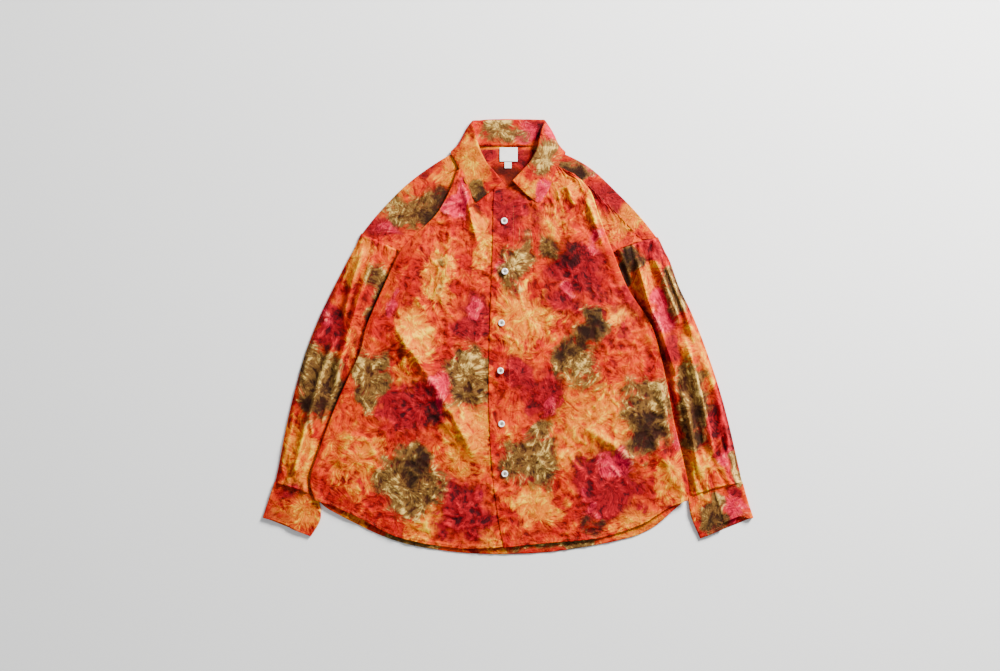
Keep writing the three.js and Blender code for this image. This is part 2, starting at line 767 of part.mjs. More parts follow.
// ---- Assembly ----
const finish = (color, roughness) => () =>
  new THREE.MeshStandardMaterial({ color, roughness, metalness: 0 });
const orange = finish(0xd9622c, 0.85);
const red = finish(0xc8442f, 0.85);
const white = finish(0xf1eee9, 0.85);
const pearl = finish(0xece6da, 0.3);

const group = new THREE.Group();
function add(name, geometry, material) {
  const mesh = new THREE.Mesh(geometry, material());
  mesh.name = name;
  group.add(mesh);
}

add("back", back(), red);
add("back_yoke", yoke(), red);
const rightFront = [rightEdge, rightNeckline, rightHem].map(curve);
const leftFront = [leftEdge, leftNeckline, leftHem].map(curve);
add("front_right", front("right", ...rightFront, () => 0), orange);
add("front_left", front("left", ...leftFront, onPlacket), orange);
add("sleeve_right", tube(rightSleeve, rightSleeveRidges, rightFold, 13, 15), orange);
add("sleeve_left", tube(leftSleeve, leftSleeveRidges, leftFold, 13, 15), orange);
add("cuff_right", tube(rightCuff, [], rightFold, 8, 3), orange);
add("cuff_left", tube(leftCuff, [], leftFold, 8, 3), orange);
add("collar", collar(), orange);
add("neck_label", flatPatch(label), white);
add("size_tab", flatPatch(sizeTab), white);
buttons.forEach((place, k) => add(`button_${k + 1}`, button(place), pearl));

// The origin is the middle of the outline, at the surface it lies on.
const bounds = new THREE.Box3().setFromObject(group);
const middle = bounds.getCenter(new THREE.Vector3());
group.position.set(-middle.x, -middle.y, -bounds.min.z);

export default group;
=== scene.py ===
import math

import bpy
import numpy as np
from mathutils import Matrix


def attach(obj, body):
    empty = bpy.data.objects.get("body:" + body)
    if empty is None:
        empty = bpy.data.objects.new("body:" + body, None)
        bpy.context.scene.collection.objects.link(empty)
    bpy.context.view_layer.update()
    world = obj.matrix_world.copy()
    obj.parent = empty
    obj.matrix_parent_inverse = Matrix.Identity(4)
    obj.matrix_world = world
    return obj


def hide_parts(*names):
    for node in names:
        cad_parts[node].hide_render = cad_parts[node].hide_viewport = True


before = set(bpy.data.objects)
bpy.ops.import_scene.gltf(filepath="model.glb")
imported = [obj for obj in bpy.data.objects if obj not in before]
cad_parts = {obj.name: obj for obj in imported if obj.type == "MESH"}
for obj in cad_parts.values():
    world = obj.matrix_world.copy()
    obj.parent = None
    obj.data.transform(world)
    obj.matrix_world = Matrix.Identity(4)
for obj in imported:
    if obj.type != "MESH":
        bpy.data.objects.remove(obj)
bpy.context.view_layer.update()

# Sizes are in millimetres until a mesh is made. +X is the wearer's left, +Y runs from hem to collar.
mm = 0.001
cloth = 1.2  # wall of one layer in the frame
layer = 1.8  # a layer and the air over it
ply = 0.7  # wall drawn for one layer of cotton
skin = 1.0  # the drawn surface is this far over the underside of the frame's layer
sleeveStack = 2 * layer
collarStack = layer
print("frame loaded")


# ---- Camera, light and floor ----
def srgb(red, green, blue):
    share = np.array([red, green, blue]) / 255
    low, high = share / 12.92, ((share + 0.055) / 1.055) ** 2.4
    return (*np.where(share <= 0.04045, low, high).tolist(), 1.0)


camera = bpy.data.objects.new("camera", bpy.data.cameras.new("camera"))
camera.location = (-0.0148, 0.0019, 2.2)
camera.data.sensor_width = 36
camera.data.lens = 42.81
camera.data.clip_end = 50
bpy.context.scene.collection.objects.link(camera)
bpy.context.scene.camera = camera


def areaLight(name, place, size, power, tint):
    light = bpy.data.lights.new(name, "AREA")
    light.shape = "DISK"
    light.size = size
    light.energy = power
    light.color = tint
    lamp = bpy.data.objects.new(name, light)
    lamp.location = place
    x, y, z = place
    lamp.rotation_euler = (math.atan2(math.hypot(x, y), z), 0, math.atan2(x, -y))
    bpy.context.scene.collection.objects.link(lamp)


areaLight("key", (1.9, 2.1, 1.6), 1.1, 425, (1.0, 0.985, 0.96))
areaLight("fill", (-1.6, -0.6, 2.4), 2.2, 6, (0.95, 0.97, 1.0))
world = bpy.data.worlds.new("studio")
world.use_nodes = True
world.node_tree.nodes["Background"].inputs["Color"].default_value = (0.95, 0.97, 1.0, 1)
world.node_tree.nodes["Background"].inputs["Strength"].default_value = 0.44
bpy.context.scene.world = world


# ---- Materials ----
class Field:
    # A value or colour in a material. +, -, * and / add the nodes that work it out.
    def __init__(self, tree, socket=None):
        self.tree = tree
        self.socket = socket

    def node(self, kind, settings, inputs, output=0):
        made = self.tree.nodes.new(kind)
        for key, value in settings.items():
            setattr(made, key, value)
        for key, value in inputs.items():
            if isinstance(value, Field):
                self.tree.links.new(value.socket, made.inputs[key])
            else:
                made.inputs[key].default_value = value
        return Field(self.tree, made.outputs[output])

    def maths(self, operation, first, second):
        return self.node("ShaderNodeMath", {"operation": operation}, {0: first, 1: second})

    def __add__(self, other):
        return self.maths("ADD", self, other)

    def __radd__(self, other):
        return self.maths("ADD", other, self)

    def __sub__(self, other):
        return self.maths("SUBTRACT", self, other)

    def __rsub__(self, other):
        return self.maths("SUBTRACT", other, self)

    def __mul__(self, other):
        return self.maths("MULTIPLY", self, other)

    def __rmul__(self, other):
        return self.maths("MULTIPLY", other, self)

    def tone(self, *rgb):
        made = self.tree.nodes.new("ShaderNodeRGB")
        made.outputs[0].default_value = srgb(*rgb)
        return Field(self.tree, made.outputs[0])

    def step(self, low, high):
        inputs = {"Value": self, "From Min": low, "From Max": high}
        return self.node("ShaderNodeMapRange", {"interpolation_type": "SMOOTHSTEP"}, inputs)

    def mix(self, other, factor):
        inputs = {0: factor, 6: self, 7: other}
        return self.node("ShaderNodeMix", {"data_type": "RGBA"}, inputs, 2)

    # Noise from 0 to 1 over a place, its largest features of that size in millimetres.
    def noise(self, size, detail, seed, distortion=0.0):
        inputs = {"Vector": self, "W": seed, "Scale": 1 / (size * mm), "Detail": detail}
        inputs.update({"Roughness": 0.6, "Distortion": distortion})
        return self.node("ShaderNodeTexNoise", {"noise_dimensions": "4D"}, inputs, "Fac")


def material(name):
    made = bpy.data.materials.new(name)
    made.use_nodes = True
    shader = made.node_tree.nodes["Principled BSDF"]
    start = Field(made.node_tree)
    place = start.node("ShaderNodeTexCoord", {}, {}, "Object")

    def put(key, value):
        if isinstance(value, Field):
            made.node_tree.links.new(value.socket, shader.inputs[key])
        else:
            shader.inputs[key].default_value = value

    return made, start, place, put


# Cotton: six dyes, each with a dark, a middle and a light tone. A tone follows streaks that run out
# from the middle of each blot and a flame-like noise, and is painted darker as shade in the hollows of
# the cloth and lighter as highlight on its ridges. A dye shows where its mask, feathered by the same
# noises, passes a threshold. The darkest dye is partly painted shade.
def dyedCotton():
    made, start, place, put = material("dyed_cotton_cloth")

    def value(name, output="Fac"):
        return start.node("ShaderNodeAttribute", {"attribute_name": name}, {}, output)

    swirl = place.node(
        "ShaderNodeTexNoise",
        {"noise_dimensions": "3D"},
        {"Vector": place, "Scale": 1 / (24 * mm), "Detail": 2.0},
        "Color",
    )
    amount = (26 * mm,) * 3
    bent = swirl.node(
        "ShaderNodeVectorMath", {"operation": "MULTIPLY_ADD"}, {0: swirl, 1: amount, 2: place}
    )
    flame = bent.noise(13, 4, 1.3) - 0.5
    tongue = bent.noise(22, 3, 4.1) - 0.5
    fine = bent.noise(4.5, 3, 7.7) - 0.5
    wide = place.noise(46, 2, 2.6) - 0.5
    ray = value("ray", "Vector")

    def streaks(scale, detail):
        inputs = {"Vector": ray, "Scale": scale, "Detail": detail, "Roughness": 0.6}
        inputs["Distortion"] = 0.4
        noise = ray.node("ShaderNodeTexNoise", {"noise_dimensions": "3D"}, inputs, "Fac")
        return noise - 0.5

    rays = streaks(4.2, 3.0)
    hairs = streaks(11.0, 2.0)
    crease = bent.noise(34, 3, 9.2) - 0.5
    line = (1 - crease.maths("ABSOLUTE", crease, 0) * 22).step(0, 1)
    dark_dye_and_shade = value("dark_dye_and_shade")
    relief_shade_and_highlight = value("relief_shade_and_highlight")
    tone = 0.5 + flame * 1.9 + rays * 1.9 + hairs * 0.75 + fine * 0.6
    # Painted shade in the cloth's hollows and painted highlight on its ridges, and painted shade where the
    # darkest dye stands for shade.
    tone = tone + value("light") * 0.4 - dark_dye_and_shade * 0.45 - relief_shade_and_highlight * 0.32
    lighter = tone.step(0.6, 1.2)
    darker = (1 - tone).step(0.46, 1.05)
    feather = tongue * 1.9 + rays * 1.2 + hairs * 0.4

    def tones(dark, middle, light):
        return start.tone(*middle).mix(srgb(*light), lighter).mix(srgb(*dark), darker)

    def where(name):
        mask = value(name)
        return (mask + feather * mask.step(0, 0.35)).step(0.12, 0.7)

    colour = tones((98, 6, 9), (172, 10, 4), (208, 44, 2))
    orange = tones((160, 22, 0), (212, 60, 0), (234, 118, 0))
    colour = colour.mix(orange, (wide * 3 + feather * 0.5 + 0.45).step(0.15, 0.85))
    colour = colour.mix(tones((184, 48, 0), (222, 112, 0), (252, 192, 14)), where("amber"))
    colour = colour.mix(tones((56, 5, 12), (140, 7, 20), (206, 20, 34)), where("crimson"))
    colour = colour.mix(tones((148, 6, 34), (210, 16, 58), (255, 112, 102)), where("pink"))
    colour = colour.mix(tones((36, 24, 12), (102, 77, 34), (228, 190, 100)), where("olive") * 0.93)
    # Darkest dye, near black: real dark dye in some blots, painted shade in others.
    colour = colour.mix(srgb(26, 14, 8), (dark_dye_and_shade + feather * 0.5).step(0.45, 1.15) * 0.8)
    colour = colour.mix(srgb(56, 10, 6), line * 0.3)
    put("Base Color", colour)
    put("Roughness", 0.8 + fine * 0.15)
    put("Specular IOR Level", 0.1)
    across = place.node("ShaderNodeSeparateXYZ", {}, {0: place}, 0) * (2 * math.pi / (0.55 * mm))
    along = place.node("ShaderNodeSeparateXYZ", {}, {0: place}, 1) * (2 * math.pi / (0.55 * mm))
    weave = across.maths("SINE", across, 0) * along.maths("SINE", along, 0)
    height = flame * 0.6 + rays * 0.7 + hairs * 0.3 + fine * 0.2 - line * 0.2 + weave * 0.02
    bump = {"Strength": 0.8, "Distance": 0.0022, "Height": height}
    put("Normal", start.node("ShaderNodeBump", {}, bump, "Normal"))
    return made


# Thread: one colour with a slight noise in it.
def threadMaterial(name, rgb):
    made, start, place, put = material(name)
    tone = start.tone(*rgb)
    put("Base Color", tone.mix(srgb(*[c * 0.72 for c in rgb]), place.noise(1.5, 2, 3.0)))
    put("Roughness", 0.7)
    return made


# Label tape: white satin with fine ribs across it.
def labelTape():
    made, start, place, put = material("label_tape_cloth")
    across = place.node("ShaderNodeSeparateXYZ", {}, {0: place}, 1)
    rib = across.maths("SINE", across * (2 * math.pi / (0.7 * mm)), 0)
    tone = start.tone(253, 252, 250)
    put("Base Color", tone.mix(srgb(240, 238, 232), place.noise(4, 3, 2.0)))
    put("Roughness", 0.45 + rib * 0.05)
    bump = {"Strength": 0.4, "Distance": 0.0002, "Height": rib}
    put("Normal", start.node("ShaderNodeBump", {}, bump, "Normal"))
    return made


# Pearl: pale shell with soft clouds of pink and green, painted greyer and browner in the dish as shade of its
# recess and holes.
def pearl():
    made, start, place, put = material("pearl_shell")
    dish_shade = start.node("ShaderNodeAttribute", {"attribute_name": "dish_shade"}, {}, "Fac")
    cloud = place.noise(5, 3, 6.0, 1.5)
    tone = start.tone(252, 250, 244)
    tone = tone.mix(srgb(250, 226, 216), cloud.step(0.5, 0.75) * 0.5)
    tone = tone.mix(srgb(226, 238, 228), (1 - cloud).step(0.55, 0.8) * 0.4)
    put("Base Color", tone.mix(srgb(122, 106, 92), dish_shade.step(0.3, 0.8) * 0.75))
    put("Roughness", 0.22 + dish_shade * 0.2)
    put("Coat Weight", 0.5)
    put("Coat Roughness", 0.08)
    return made


# Floor: one pale grey with hardly any noise.
def floorMaterial():
    made, start, place, put = material("floor_paper")
    tone = start.tone(246, 247, 247)
    put("Base Color", tone.mix(srgb(241, 241, 240), place.noise(400, 2, 1.0)))
    put("Roughness", 0.85)
    return made


cottonCloth = dyedCotton()
seamThread = threadMaterial("seam_thread", (196, 84, 24))
buttonThread = threadMaterial("button_thread", (150, 122, 98))
tape = labelTape()
shell = pearl()
floorPaper = floorMaterial()
print("materials made")


# ---- Curves and grids ----
def smoothstep(value, low, high):
    t = np.clip((value - low) / (high - low), 0, 1)
    return t * t * (3 - 2 * t)


# Catmull-Rom curve through rows, at places counted in rows.
def spline(rows, places):
    p = np.array(rows, float)
    p = np.concatenate([p[:1], p, p[-1:]])
    k = np.clip(np.floor(places).astype(int), 0, len(p) - 4)
    f = (places - k)[..., None]
    a, b, c, d = p[k], p[k + 1], p[k + 2], p[k + 3]
    m, n = (c - a) / 2, (d - b) / 2
    return ((2 * (b - c) + m + n) * f + 3 * (c - b) - 2 * m - n) * f**2 + m * f + b


def even(line, count=400):
    run = np.concatenate([[0], np.cumsum(np.linalg.norm(np.diff(line, axis=0), axis=1))])
    spots = np.linspace(0, run[-1], count)
    return np.stack([np.interp(spots, run, axis) for axis in line.T], 1)


def curve(rows):
    return even(spline(rows, np.linspace(0, len(rows) - 1, 40 * len(rows))))


# Points of an evenly spaced line at shares of its length.
def at(line, shares):
    spots = np.asarray(shares) * (len(line) - 1)
    return np.stack([np.interp(spots, np.arange(len(line)), axis) for axis in line.T], -1)


def stretch(line, start, end, count=400):
    return at(line, np.linspace(start, end, count))


def chain(first, second):
    return even(np.concatenate([first, second[1:]]))


def lengthOf(line):
    return np.linalg.norm(np.diff(line, axis=0), axis=-1).sum()


# Share of a falling line at which it reaches a height y.
def shareAt(line, y):
    return np.interp(-y, -line[:, 1], np.linspace(0, 1, len(line)))


# A grid of plan points blended between four edges (a Coons patch), at shares u across and v down.
def patch(left, right, top, bottom, across, down):
    u, v = np.meshgrid(across, down)
    su, sv = u[..., None], v[..., None]
    plan = at(left, v) * (1 - su) + at(right, v) * su + at(top, u) * (1 - sv) + at(bottom, u) * sv
    plan -= (1 - su) * (1 - sv) * top[0] + su * (1 - sv) * top[-1]
    plan -= (1 - su) * sv * bottom[0] + su * sv * bottom[-1]
    return plan[..., 0], plan[..., 1], u, v


# x of an outline at heights y.
def xAt(rows, y):
    line = np.array(rows, float)
    return np.interp(-y, -line[:, 1], line[:, 0])


# Outward directions of a grid's points. A ring's columns close on themselves.
def outward(grid, ring=False):
    if ring:
        across = np.roll(grid, -1, axis=1) - np.roll(grid, 1, axis=1)
        away = grid - grid.mean(axis=1, keepdims=True)
    else:
        across = np.gradient(grid, axis=1)
        away = np.array([0, 0, 1.0])
    out = np.cross(np.gradient(grid, axis=0), across)
    out /= np.maximum(np.linalg.norm(out, axis=-1, keepdims=True), 1e-9)
    return out * (1 if (out * away).sum() > 0 else -1)


# A closed wall between two equal grids, with the faces of its rims marked as sharp.
def wall(outer, inner, ring=False):
    rows, columns = outer.shape[:2]
    over = np.arange(rows * columns).reshape(rows, columns)
    if ring:
        over = np.concatenate([over, over[:, :1]], 1)
    under = over + rows * columns

    def quads(*corners):
        return np.stack(corners, -1).reshape(-1, 4)

    sides = [
        quads(over[:-1, :-1], over[:-1, 1:], over[1:, 1:], over[1:, :-1]),
        quads(under[:-1, :-1], under[1:, :-1], under[1:, 1:], under[:-1, 1:]),
    ]
    rims = [
        quads(over[0, :-1], under[0, :-1], under[0, 1:], over[0, 1:]),
        quads(over[-1, :-1], over[-1, 1:], under[-1, 1:], under[-1, :-1]),
    ]
    if not ring:
        rims.append(quads(over[:-1, 0], over[1:, 0], under[1:, 0], under[:-1, 0]))
        rims.append(quads(over[:-1, -1], under[:-1, -1], under[1:, -1], over[1:, -1]))
    faces = np.concatenate(sides + rims)
    points = np.concatenate([outer.reshape(-1, 3), inner.reshape(-1, 3)])
    a, b, c, d = (points[faces[:, k]] for k in range(4))
    if (a * (np.cross(b, c) + np.cross(c, d))).sum() < 0:
        faces = faces[:, ::-1]
    sharp = np.arange(len(faces)) >= 2 * len(sides[0])
    return {"points": points, "faces": faces, "sharp": sharp}


def sheetWall(grid, thickness=ply):
    return wall(grid, grid - outward(grid) * thickness)


# Adds columns to a grid's last edge that turn it down and under by a bend of that radius.
def rolled(grid, radius, turn=165, steps=7, tuck=1.5):
    edge = grid[:, -1]
    way = np.gradient(edge[:, :2], axis=0)
    out = np.stack([way[:, 1], -way[:, 0]], 1) / np.linalg.norm(way, axis=1, keepdims=True)
    inside = edge[:, :2] - grid[:, -6, :2]
    out *= np.sign((out * inside).sum())
    radius = np.broadcast_to(radius, len(edge))
    columns = []
    for angle in np.radians(np.linspace(0, turn, steps + 1)[1:]):
        plan = edge[:, :2] + out * (radius * math.sin(angle))[:, None]
        columns.append(np.column_stack([plan, edge[:, 2] - radius * (1 - math.cos(angle))]))
    last = columns[-1].copy()
    last[:, :2] -= out * tuck
    return np.concatenate([grid, np.stack(columns + [last], 1)], 1)


# A path through corners, each an array of points, rounded off from reach before each corner on.
def roundedPath(corners, reach, run, bend):
    path = []
    start = corners[0]
    for k in range(1, len(corners)):
        before, here = corners[k - 1], corners[k]
        if k == len(corners) - 1:
            path += [start + (here - start) * i / run for i in range(run + 1)]
            break
        after = corners[k + 1]
        back = np.linalg.norm(before - here, axis=1, keepdims=True)
        ahead = np.linalg.norm(after - here, axis=1, keepdims=True)
        to = here + (before - here) * np.minimum(reach / back, 0.45)
        onward = here + (after - here) * np.minimum(reach / ahead, 0.45)
        path += [start + (to - start) * i / run for i in range(run)]
        for i in range(bend):
            t = i / bend
            path.append((1 - t) ** 2 * to + 2 * t * (1 - t) * here + t * t * onward)
        start = onward
    return np.stack(path, 1)


# ---- Crumples and folds ----
# Noise from about -1 to 1: seeded directions on a lattice of cells, blended between its corners.
def noise(x, y, cell, seed):
    ix, iy = np.floor(x / cell).astype(np.int64), np.floor(y / cell).astype(np.int64)
    fx, fy = x / cell - ix, y / cell - iy

    def corner(i, j):
        n = ((ix + i) * 374761393 + (iy + j) * 668265263 + seed * 974634777) & 0xFFFFFFFF
        n = ((n ^ (n >> 13)) * 1274126177) & 0xFFFFFFFF
        turn = (n >> 8 & 0xFFFF) / 65536 * 2 * math.pi
        return np.cos(turn) * (fx - i) + np.sin(turn) * (fy - j)

    sx, sy = (t * t * t * (t * (t * 6 - 15) + 10) for t in (fx, fy))
    low = corner(0, 0) * (1 - sx) + corner(1, 0) * sx
    high = corner(0, 1) * (1 - sx) + corner(1, 1) * sx
    return (low * (1 - sy) + high * sy) * 1.5


# Crumples: a crease wherever a noise passes zero, at four sizes, bent by a wider noise and stronger
# in some places than in others. along under 1 draws the creases out along the length.
def crumple(x, y, seed, along=1.0):
    y = y * along
    bentX = x + 11 * noise(x, y, 44, seed)
    bentY = y + 11 * noise(x, y, 44, seed + 1)
    total = np.zeros_like(x)
    for k, (cell, height) in enumerate([(56, 3.2), (27, 2.4), (13, 1.4), (6.5, 0.6)]):
        crease = np.clip(1 - 2.1 * np.abs(noise(bentX, bentY, cell, seed + 2 + k)), 0, 1)
        total += height * crease**1.4
    return total * np.clip(0.75 + 0.55 * noise(x, y, 90, seed + 9), 0.2, 1.3)


# Height of folds at plan points: a ridge round each line, faded at both ends.
def relief(folds, x, y, sharpness=1.5):
    total = np.zeros_like(x)
    plan = np.stack([x, y], -1)
    t = np.linspace(0, 1, 17)[:, None]
    for x0, y0, x1, y1, x2, y2, height, before, after in folds:
        line = (1 - t) ** 2 * [x0, y0] + 2 * t * (1 - t) * [x1, y1] + t**2 * [x2, y2]
        way = np.diff(line, axis=0)
        out = plan[..., None, :] - line[:-1]
        share = np.clip((out * way).sum(-1) / (way**2).sum(-1), 0, 1)
        distance = np.linalg.norm(out - share[..., None] * way, axis=-1)
        nearest = distance.argmin(-1)[..., None]
        side = way[:, 0] * out[..., 1] - way[:, 1] * out[..., 0]
        side, share, distance = (
            np.take_along_axis(values, nearest, -1)[..., 0] for values in (side, share, distance)
        )
        along = (nearest[..., 0] + share) / len(way)
        width = np.where(side < 0, before, after)
        ends = smoothstep(along, 0, 0.2) * (1 - smoothstep(along, 0.75, 1))
        total = np.maximum(total, height * np.exp(-((distance / width) ** sharpness)) * ends)
    return total


# ---- Dye ----
# Blots as (x, y, half width, half height, strength), given for each part of the shirt.
# The rows of the darkest dye are partly real dark dye and partly painted shade: inside the neck, by the
# collar tips, under the fronts' folds by the shoulders, and beside the side folds on the sleeve.
rightFrontDye = {
    "amber": [
        (-172, 3, 33, 56, 1), (-50, 186, 20, 59, 0.8), (-131, 107, 33, 62, 0.9),
        (-73, -187, 40, 69, 0.9), (-155, -344, 30, 32, 0.9), (-31, -376, 27, 18, 0.8),
        (-278, -233, 51, 69, 0.45), (-187, -71, 24, 18, 0.5), (-85, -218, 54, 36, 0.6),
    ],
    "crimson": [
        (-63, 33, 33, 43, 1), (-169, -136, 62, 56, 1), (-80, -323, 58, 63, 0.95),
        (-231, 181, 31, 43, 0.5), (-270, 40, 18, 28, 0.4),
    ],
    "pink": [
        (-90, 253, 19, 42, 1), (-211, 65, 11, 14, 0.8), (-65, 54, 17, 14, 0.8),
        (-124, -92, 20, 33, 0.9), (-111, -129, 15, 11, 0.4), (-41, -284, 11, 18, 0.3),
    ],
    "olive": [
        (-256, -75, 38, 50, 1), (-253, -122, 16, 21, 0.8), (-74, -70, 43, 55, 1),
        (-183, -268, 61, 62, 1), (-121, 109, 14, 42, 0.35), (-140, -173, 14, 18, 0.3),
    ],
    "light": [
        (-167, 5, 23, 30, 0.9), (-108, 133, 12, 29, 0.9), (-148, 77, 17, 28, 0.8),
        (-263, -51, 11, 15, 0.7), (-248, -125, 7, 11, 0.7), (-75, -58, 23, 22, 0.9),
        (-54, 175, 13, 37, 0.5), (-149, -345, 12, 11, 0.8), (-54, -154, 17, 30, 0.4),
        (-209, -315, 18, 13, 0.5), (-218, -284, 18, 18, 0.3),
    ],
    "dark_dye_and_shade": [
        (-276, -108, 13, 18, 0.5), (-133, -145, 26, 37, 0.7), (-166, -242, 18, 34, 0.9),
        (-79, -284, 19, 18, 0.5), (-50, -344, 20, 32, 0.4), (-80, -102, 18, 16, 0.5),
        (-281, -47, 11, 18, 0.35), (-100, 158, 7, 20, 0.3), (-52, 239, 18, 8, 0.9),
    ],
}
leftFrontDye = {
    "amber": [
        (115, 272, 37, 32, 0.8), (164, 232, 18, 43, 1), (86, 210, 43, 35, 0.6), (29, 32, 53, 57, 0.9),
        (148, -161, 74, 86, 1), (52, -314, 44, 37, 0.9), (235, -339, 54, 32, 0.8),
        (299, -261, 31, 42, 0.8), (194, 36, 24, 24, 0.7), (4, -184, 18, 26, 0.4),
    ],
    "crimson": [
        (4, 234, 28, 41, 0.9), (133, 123, 56, 56, 1), (105, 60, 46, 33, 0.7), (18, -71, 28, 46, 0.8),
        (73, -108, 45, 46, 0.9), (185, -269, 70, 61, 1), (207, 49, 56, 74, 0.4), (50, 211, 18, 32, 0.4),
    ],
    "pink": [
        (-13, 123, 13, 22, 0.6), (105, 79, 18, 17, 0.5), (164, 166, 18, 28, 0.5),
        (207, -233, 37, 25, 0.8), (147, -307, 18, 23, 0.6), (78, -127, 18, 18, 0.5),
        (309, -199, 13, 26, 0.5),
    ],
    "olive": [
        (14, 130, 31, 52, 1), (71, 166, 29, 28, 0.7), (150, 21, 31, 37, 0.8), (130, -39, 41, 51, 0.8),
        (59, -173, 31, 22, 0.9), (40, -234, 56, 54, 1), (253, -147, 52, 74, 1),
        (155, -343, 26, 26, 0.5), (110, -50, 14, 16, 0.3),
    ],
    "light": [
        (164, 236, 12, 35, 0.9), (78, 203, 6, 24, 0.7), (17, 134, 17, 30, 0.8), (45, 40, 23, 28, 0.5),
        (136, -53, 16, 24, 0.6), (156, -145, 14, 28, 0.4), (265, -99, 20, 22, 0.7),
        (50, -242, 18, 23, 0.5), (45, -312, 23, 18, 0.6), (195, 36, 16, 17, 0.7), (72, -47, 7, 11, 0.5),
        (284, -245, 12, 17, 0.5), (226, -344, 18, 14, 0.3),
    ],
    "dark_dye_and_shade": [
        (113, 170, 35, 43, 0.8), (75, 160, 21, 22, 0.5), (141, 100, 44, 32, 0.4),
        (153, 12, 29, 37, 0.9), (116, -25, 27, 28, 0.7), (252, -175, 33, 43, 1),
        (27, -219, 23, 28, 0.4), (155, -343, 28, 26, 0.9), (129, -99, 23, 18, 0.4),
        # (-6, 275) is painted shade inside the neck between the collar tips.
        (-6, 275, 18, 15, 0.5),
    ],
}
rightSleeveDye = {
    "amber": [
        (-272, 132, 30, 46, 0.8), (-381, -227, 33, 76, 1), (-290, -34, 18, 43, 0.6),
        (-385, -332, 46, 30, 0.6), (-320, 100, 18, 32, 0.4),
    ],
    "crimson": [
        (-333, 25, 33, 50, 1), (-368, -6, 17, 18, 0.5), (-394, -289, 31, 23, 0.7),
        (-429, -330, 26, 18, 0.3),
    ],
    "pink": [(-342, 31, 13, 18, 0.4)],
    "olive": [(-349, -87, 36, 68, 1), (-242, 75, 24, 63, 0.9)],
    "light": [
        (-333, -48, 11, 23, 0.7), (-278, 138, 11, 18, 0.5), (-370, -194, 18, 31, 0.5),
        (-235, 97, 6, 30, 0.3), (-387, -334, 20, 9, 0.4),
    ],
    "dark_dye_and_shade": [
        # Rows along the body's side fold paint the shadow that it casts on the sleeve.
        (-276, -10, 8, 22, 0.85), (-293, -45, 8, 22, 0.85), (-310, -80, 8, 22, 0.8), (-326, -115, 8, 22, 0.7),
        (-357, -120, 22, 34, 0.8), (-244, 54, 18, 42, 0.9), (-314, -108, 18, 31, 1),
        (-403, -298, 18, 14, 0.4),
    ],
}
leftSleeveDye = {
    "amber": [
        (259, 109, 26, 32, 1), (359, -10, 30, 78, 1), (359, -250, 30, 45, 1), (343, -317, 14, 22, 0.6),
        (438, -330, 18, 17, 0.5),
    ],
    "crimson": [
        (259, 160, 30, 22, 1), (307, -18, 22, 40, 0.7), (392, -166, 30, 67, 1),
        (421, -290, 21, 18, 0.9),
    ],
    "pink": [(287, 49, 28, 37, 0.9), (405, -238, 17, 31, 0.5), (426, -321, 30, 26, 0.7)],
    "olive": [
        (313, 86, 24, 41, 0.8), (219, 139, 18, 34, 0.8), (339, -129, 29, 81, 1),
        (420, -243, 15, 26, 0.9), (377, -332, 26, 37, 1),
    ],
    "light": [
        (258, 114, 14, 17, 0.7), (346, -92, 9, 26, 0.4), (362, -242, 16, 23, 0.5),
        (421, -249, 10, 17, 0.7), (372, -339, 9, 18, 0.4), (377, -16, 7, 28, 0.4),
        (432, -314, 12, 11, 0.3),
    ],
    "dark_dye_and_shade": [
        (216, 137, 17, 36, 0.9), (344, -153, 15, 50, 0.8), (380, -339, 19, 31, 0.6),
        (300, -25, 11, 28, 0.5), (418, -351, 22, 11, 0.8),
    ],
}
shoulderDye = {
    "amber": [(-116, 302, 23, 40, 0.7), (-183, 271, 28, 26, 0.5), (211, 212, 56, 33, 0.8)],
    "crimson": [
        (-229, 204, 33, 25, 0.9), (-150, 312, 13, 15, 0.5), (187, 260, 50, 37, 0.8),
        (207, 158, 37, 20, 0.4),
    ],
    "pink": [(136, 316, 19, 19, 0.6), (-220, 199, 17, 13, 0.4)],
    "olive": [(-165, 234, 61, 41, 1), (118, 314, 20, 26, 1), (136, 316, 19, 19, 0.4)],
    "light": [
        (-205, 246, 17, 16, 0.7), (257, 197, 13, 18, 0.8), (136, 320, 12, 12, 0.5),
        (194, 220, 13, 14, 0.3),
    ],
    "dark_dye_and_shade": [
        # These rows are mostly painted shade under the front's fold by the shoulder and beside the collar.
        (-141, 220, 37, 29, 0.9), (-124, 243, 17, 31, 0.8), (117, 311, 17, 23, 1),
        (-148, 311, 11, 12, 0.4),
    ],
}
bandDye = {
    "crimson": [(43, 376, 20, 25, 0.9)],
    "pink": [(26, 376, 18, 24, 0.7)],
    "olive": [(-22, 376, 41, 28, 1)],
    "light": [(-19, 378, 32, 22, 0.7)],
    "dark_dye_and_shade": [(50, 372, 13, 21, 0.6)],
}
leafDye = {
    "amber": [(-52, 329, 46, 62, 1), (31, 279, 25, 21, 0.9)],
    "crimson": [(69, 391, 8, 9, 0.3), (-86, 349, 12, 15, 0.3)],
    "pink": [(81, 378, 20, 18, 0.8), (63, 270, 22, 23, 1)],
    "olive": [(-49, 260, 25, 22, 1), (72, 332, 31, 31, 1)],
    "light": [(-66, 314, 18, 28, 0.6), (74, 331, 22, 23, 0.8), (26, 284, 11, 9, 0.5)],
    # Painted shade by the right collar tip.
    "dark_dye_and_shade": [(-41, 253, 15, 15, 0.7)],
}
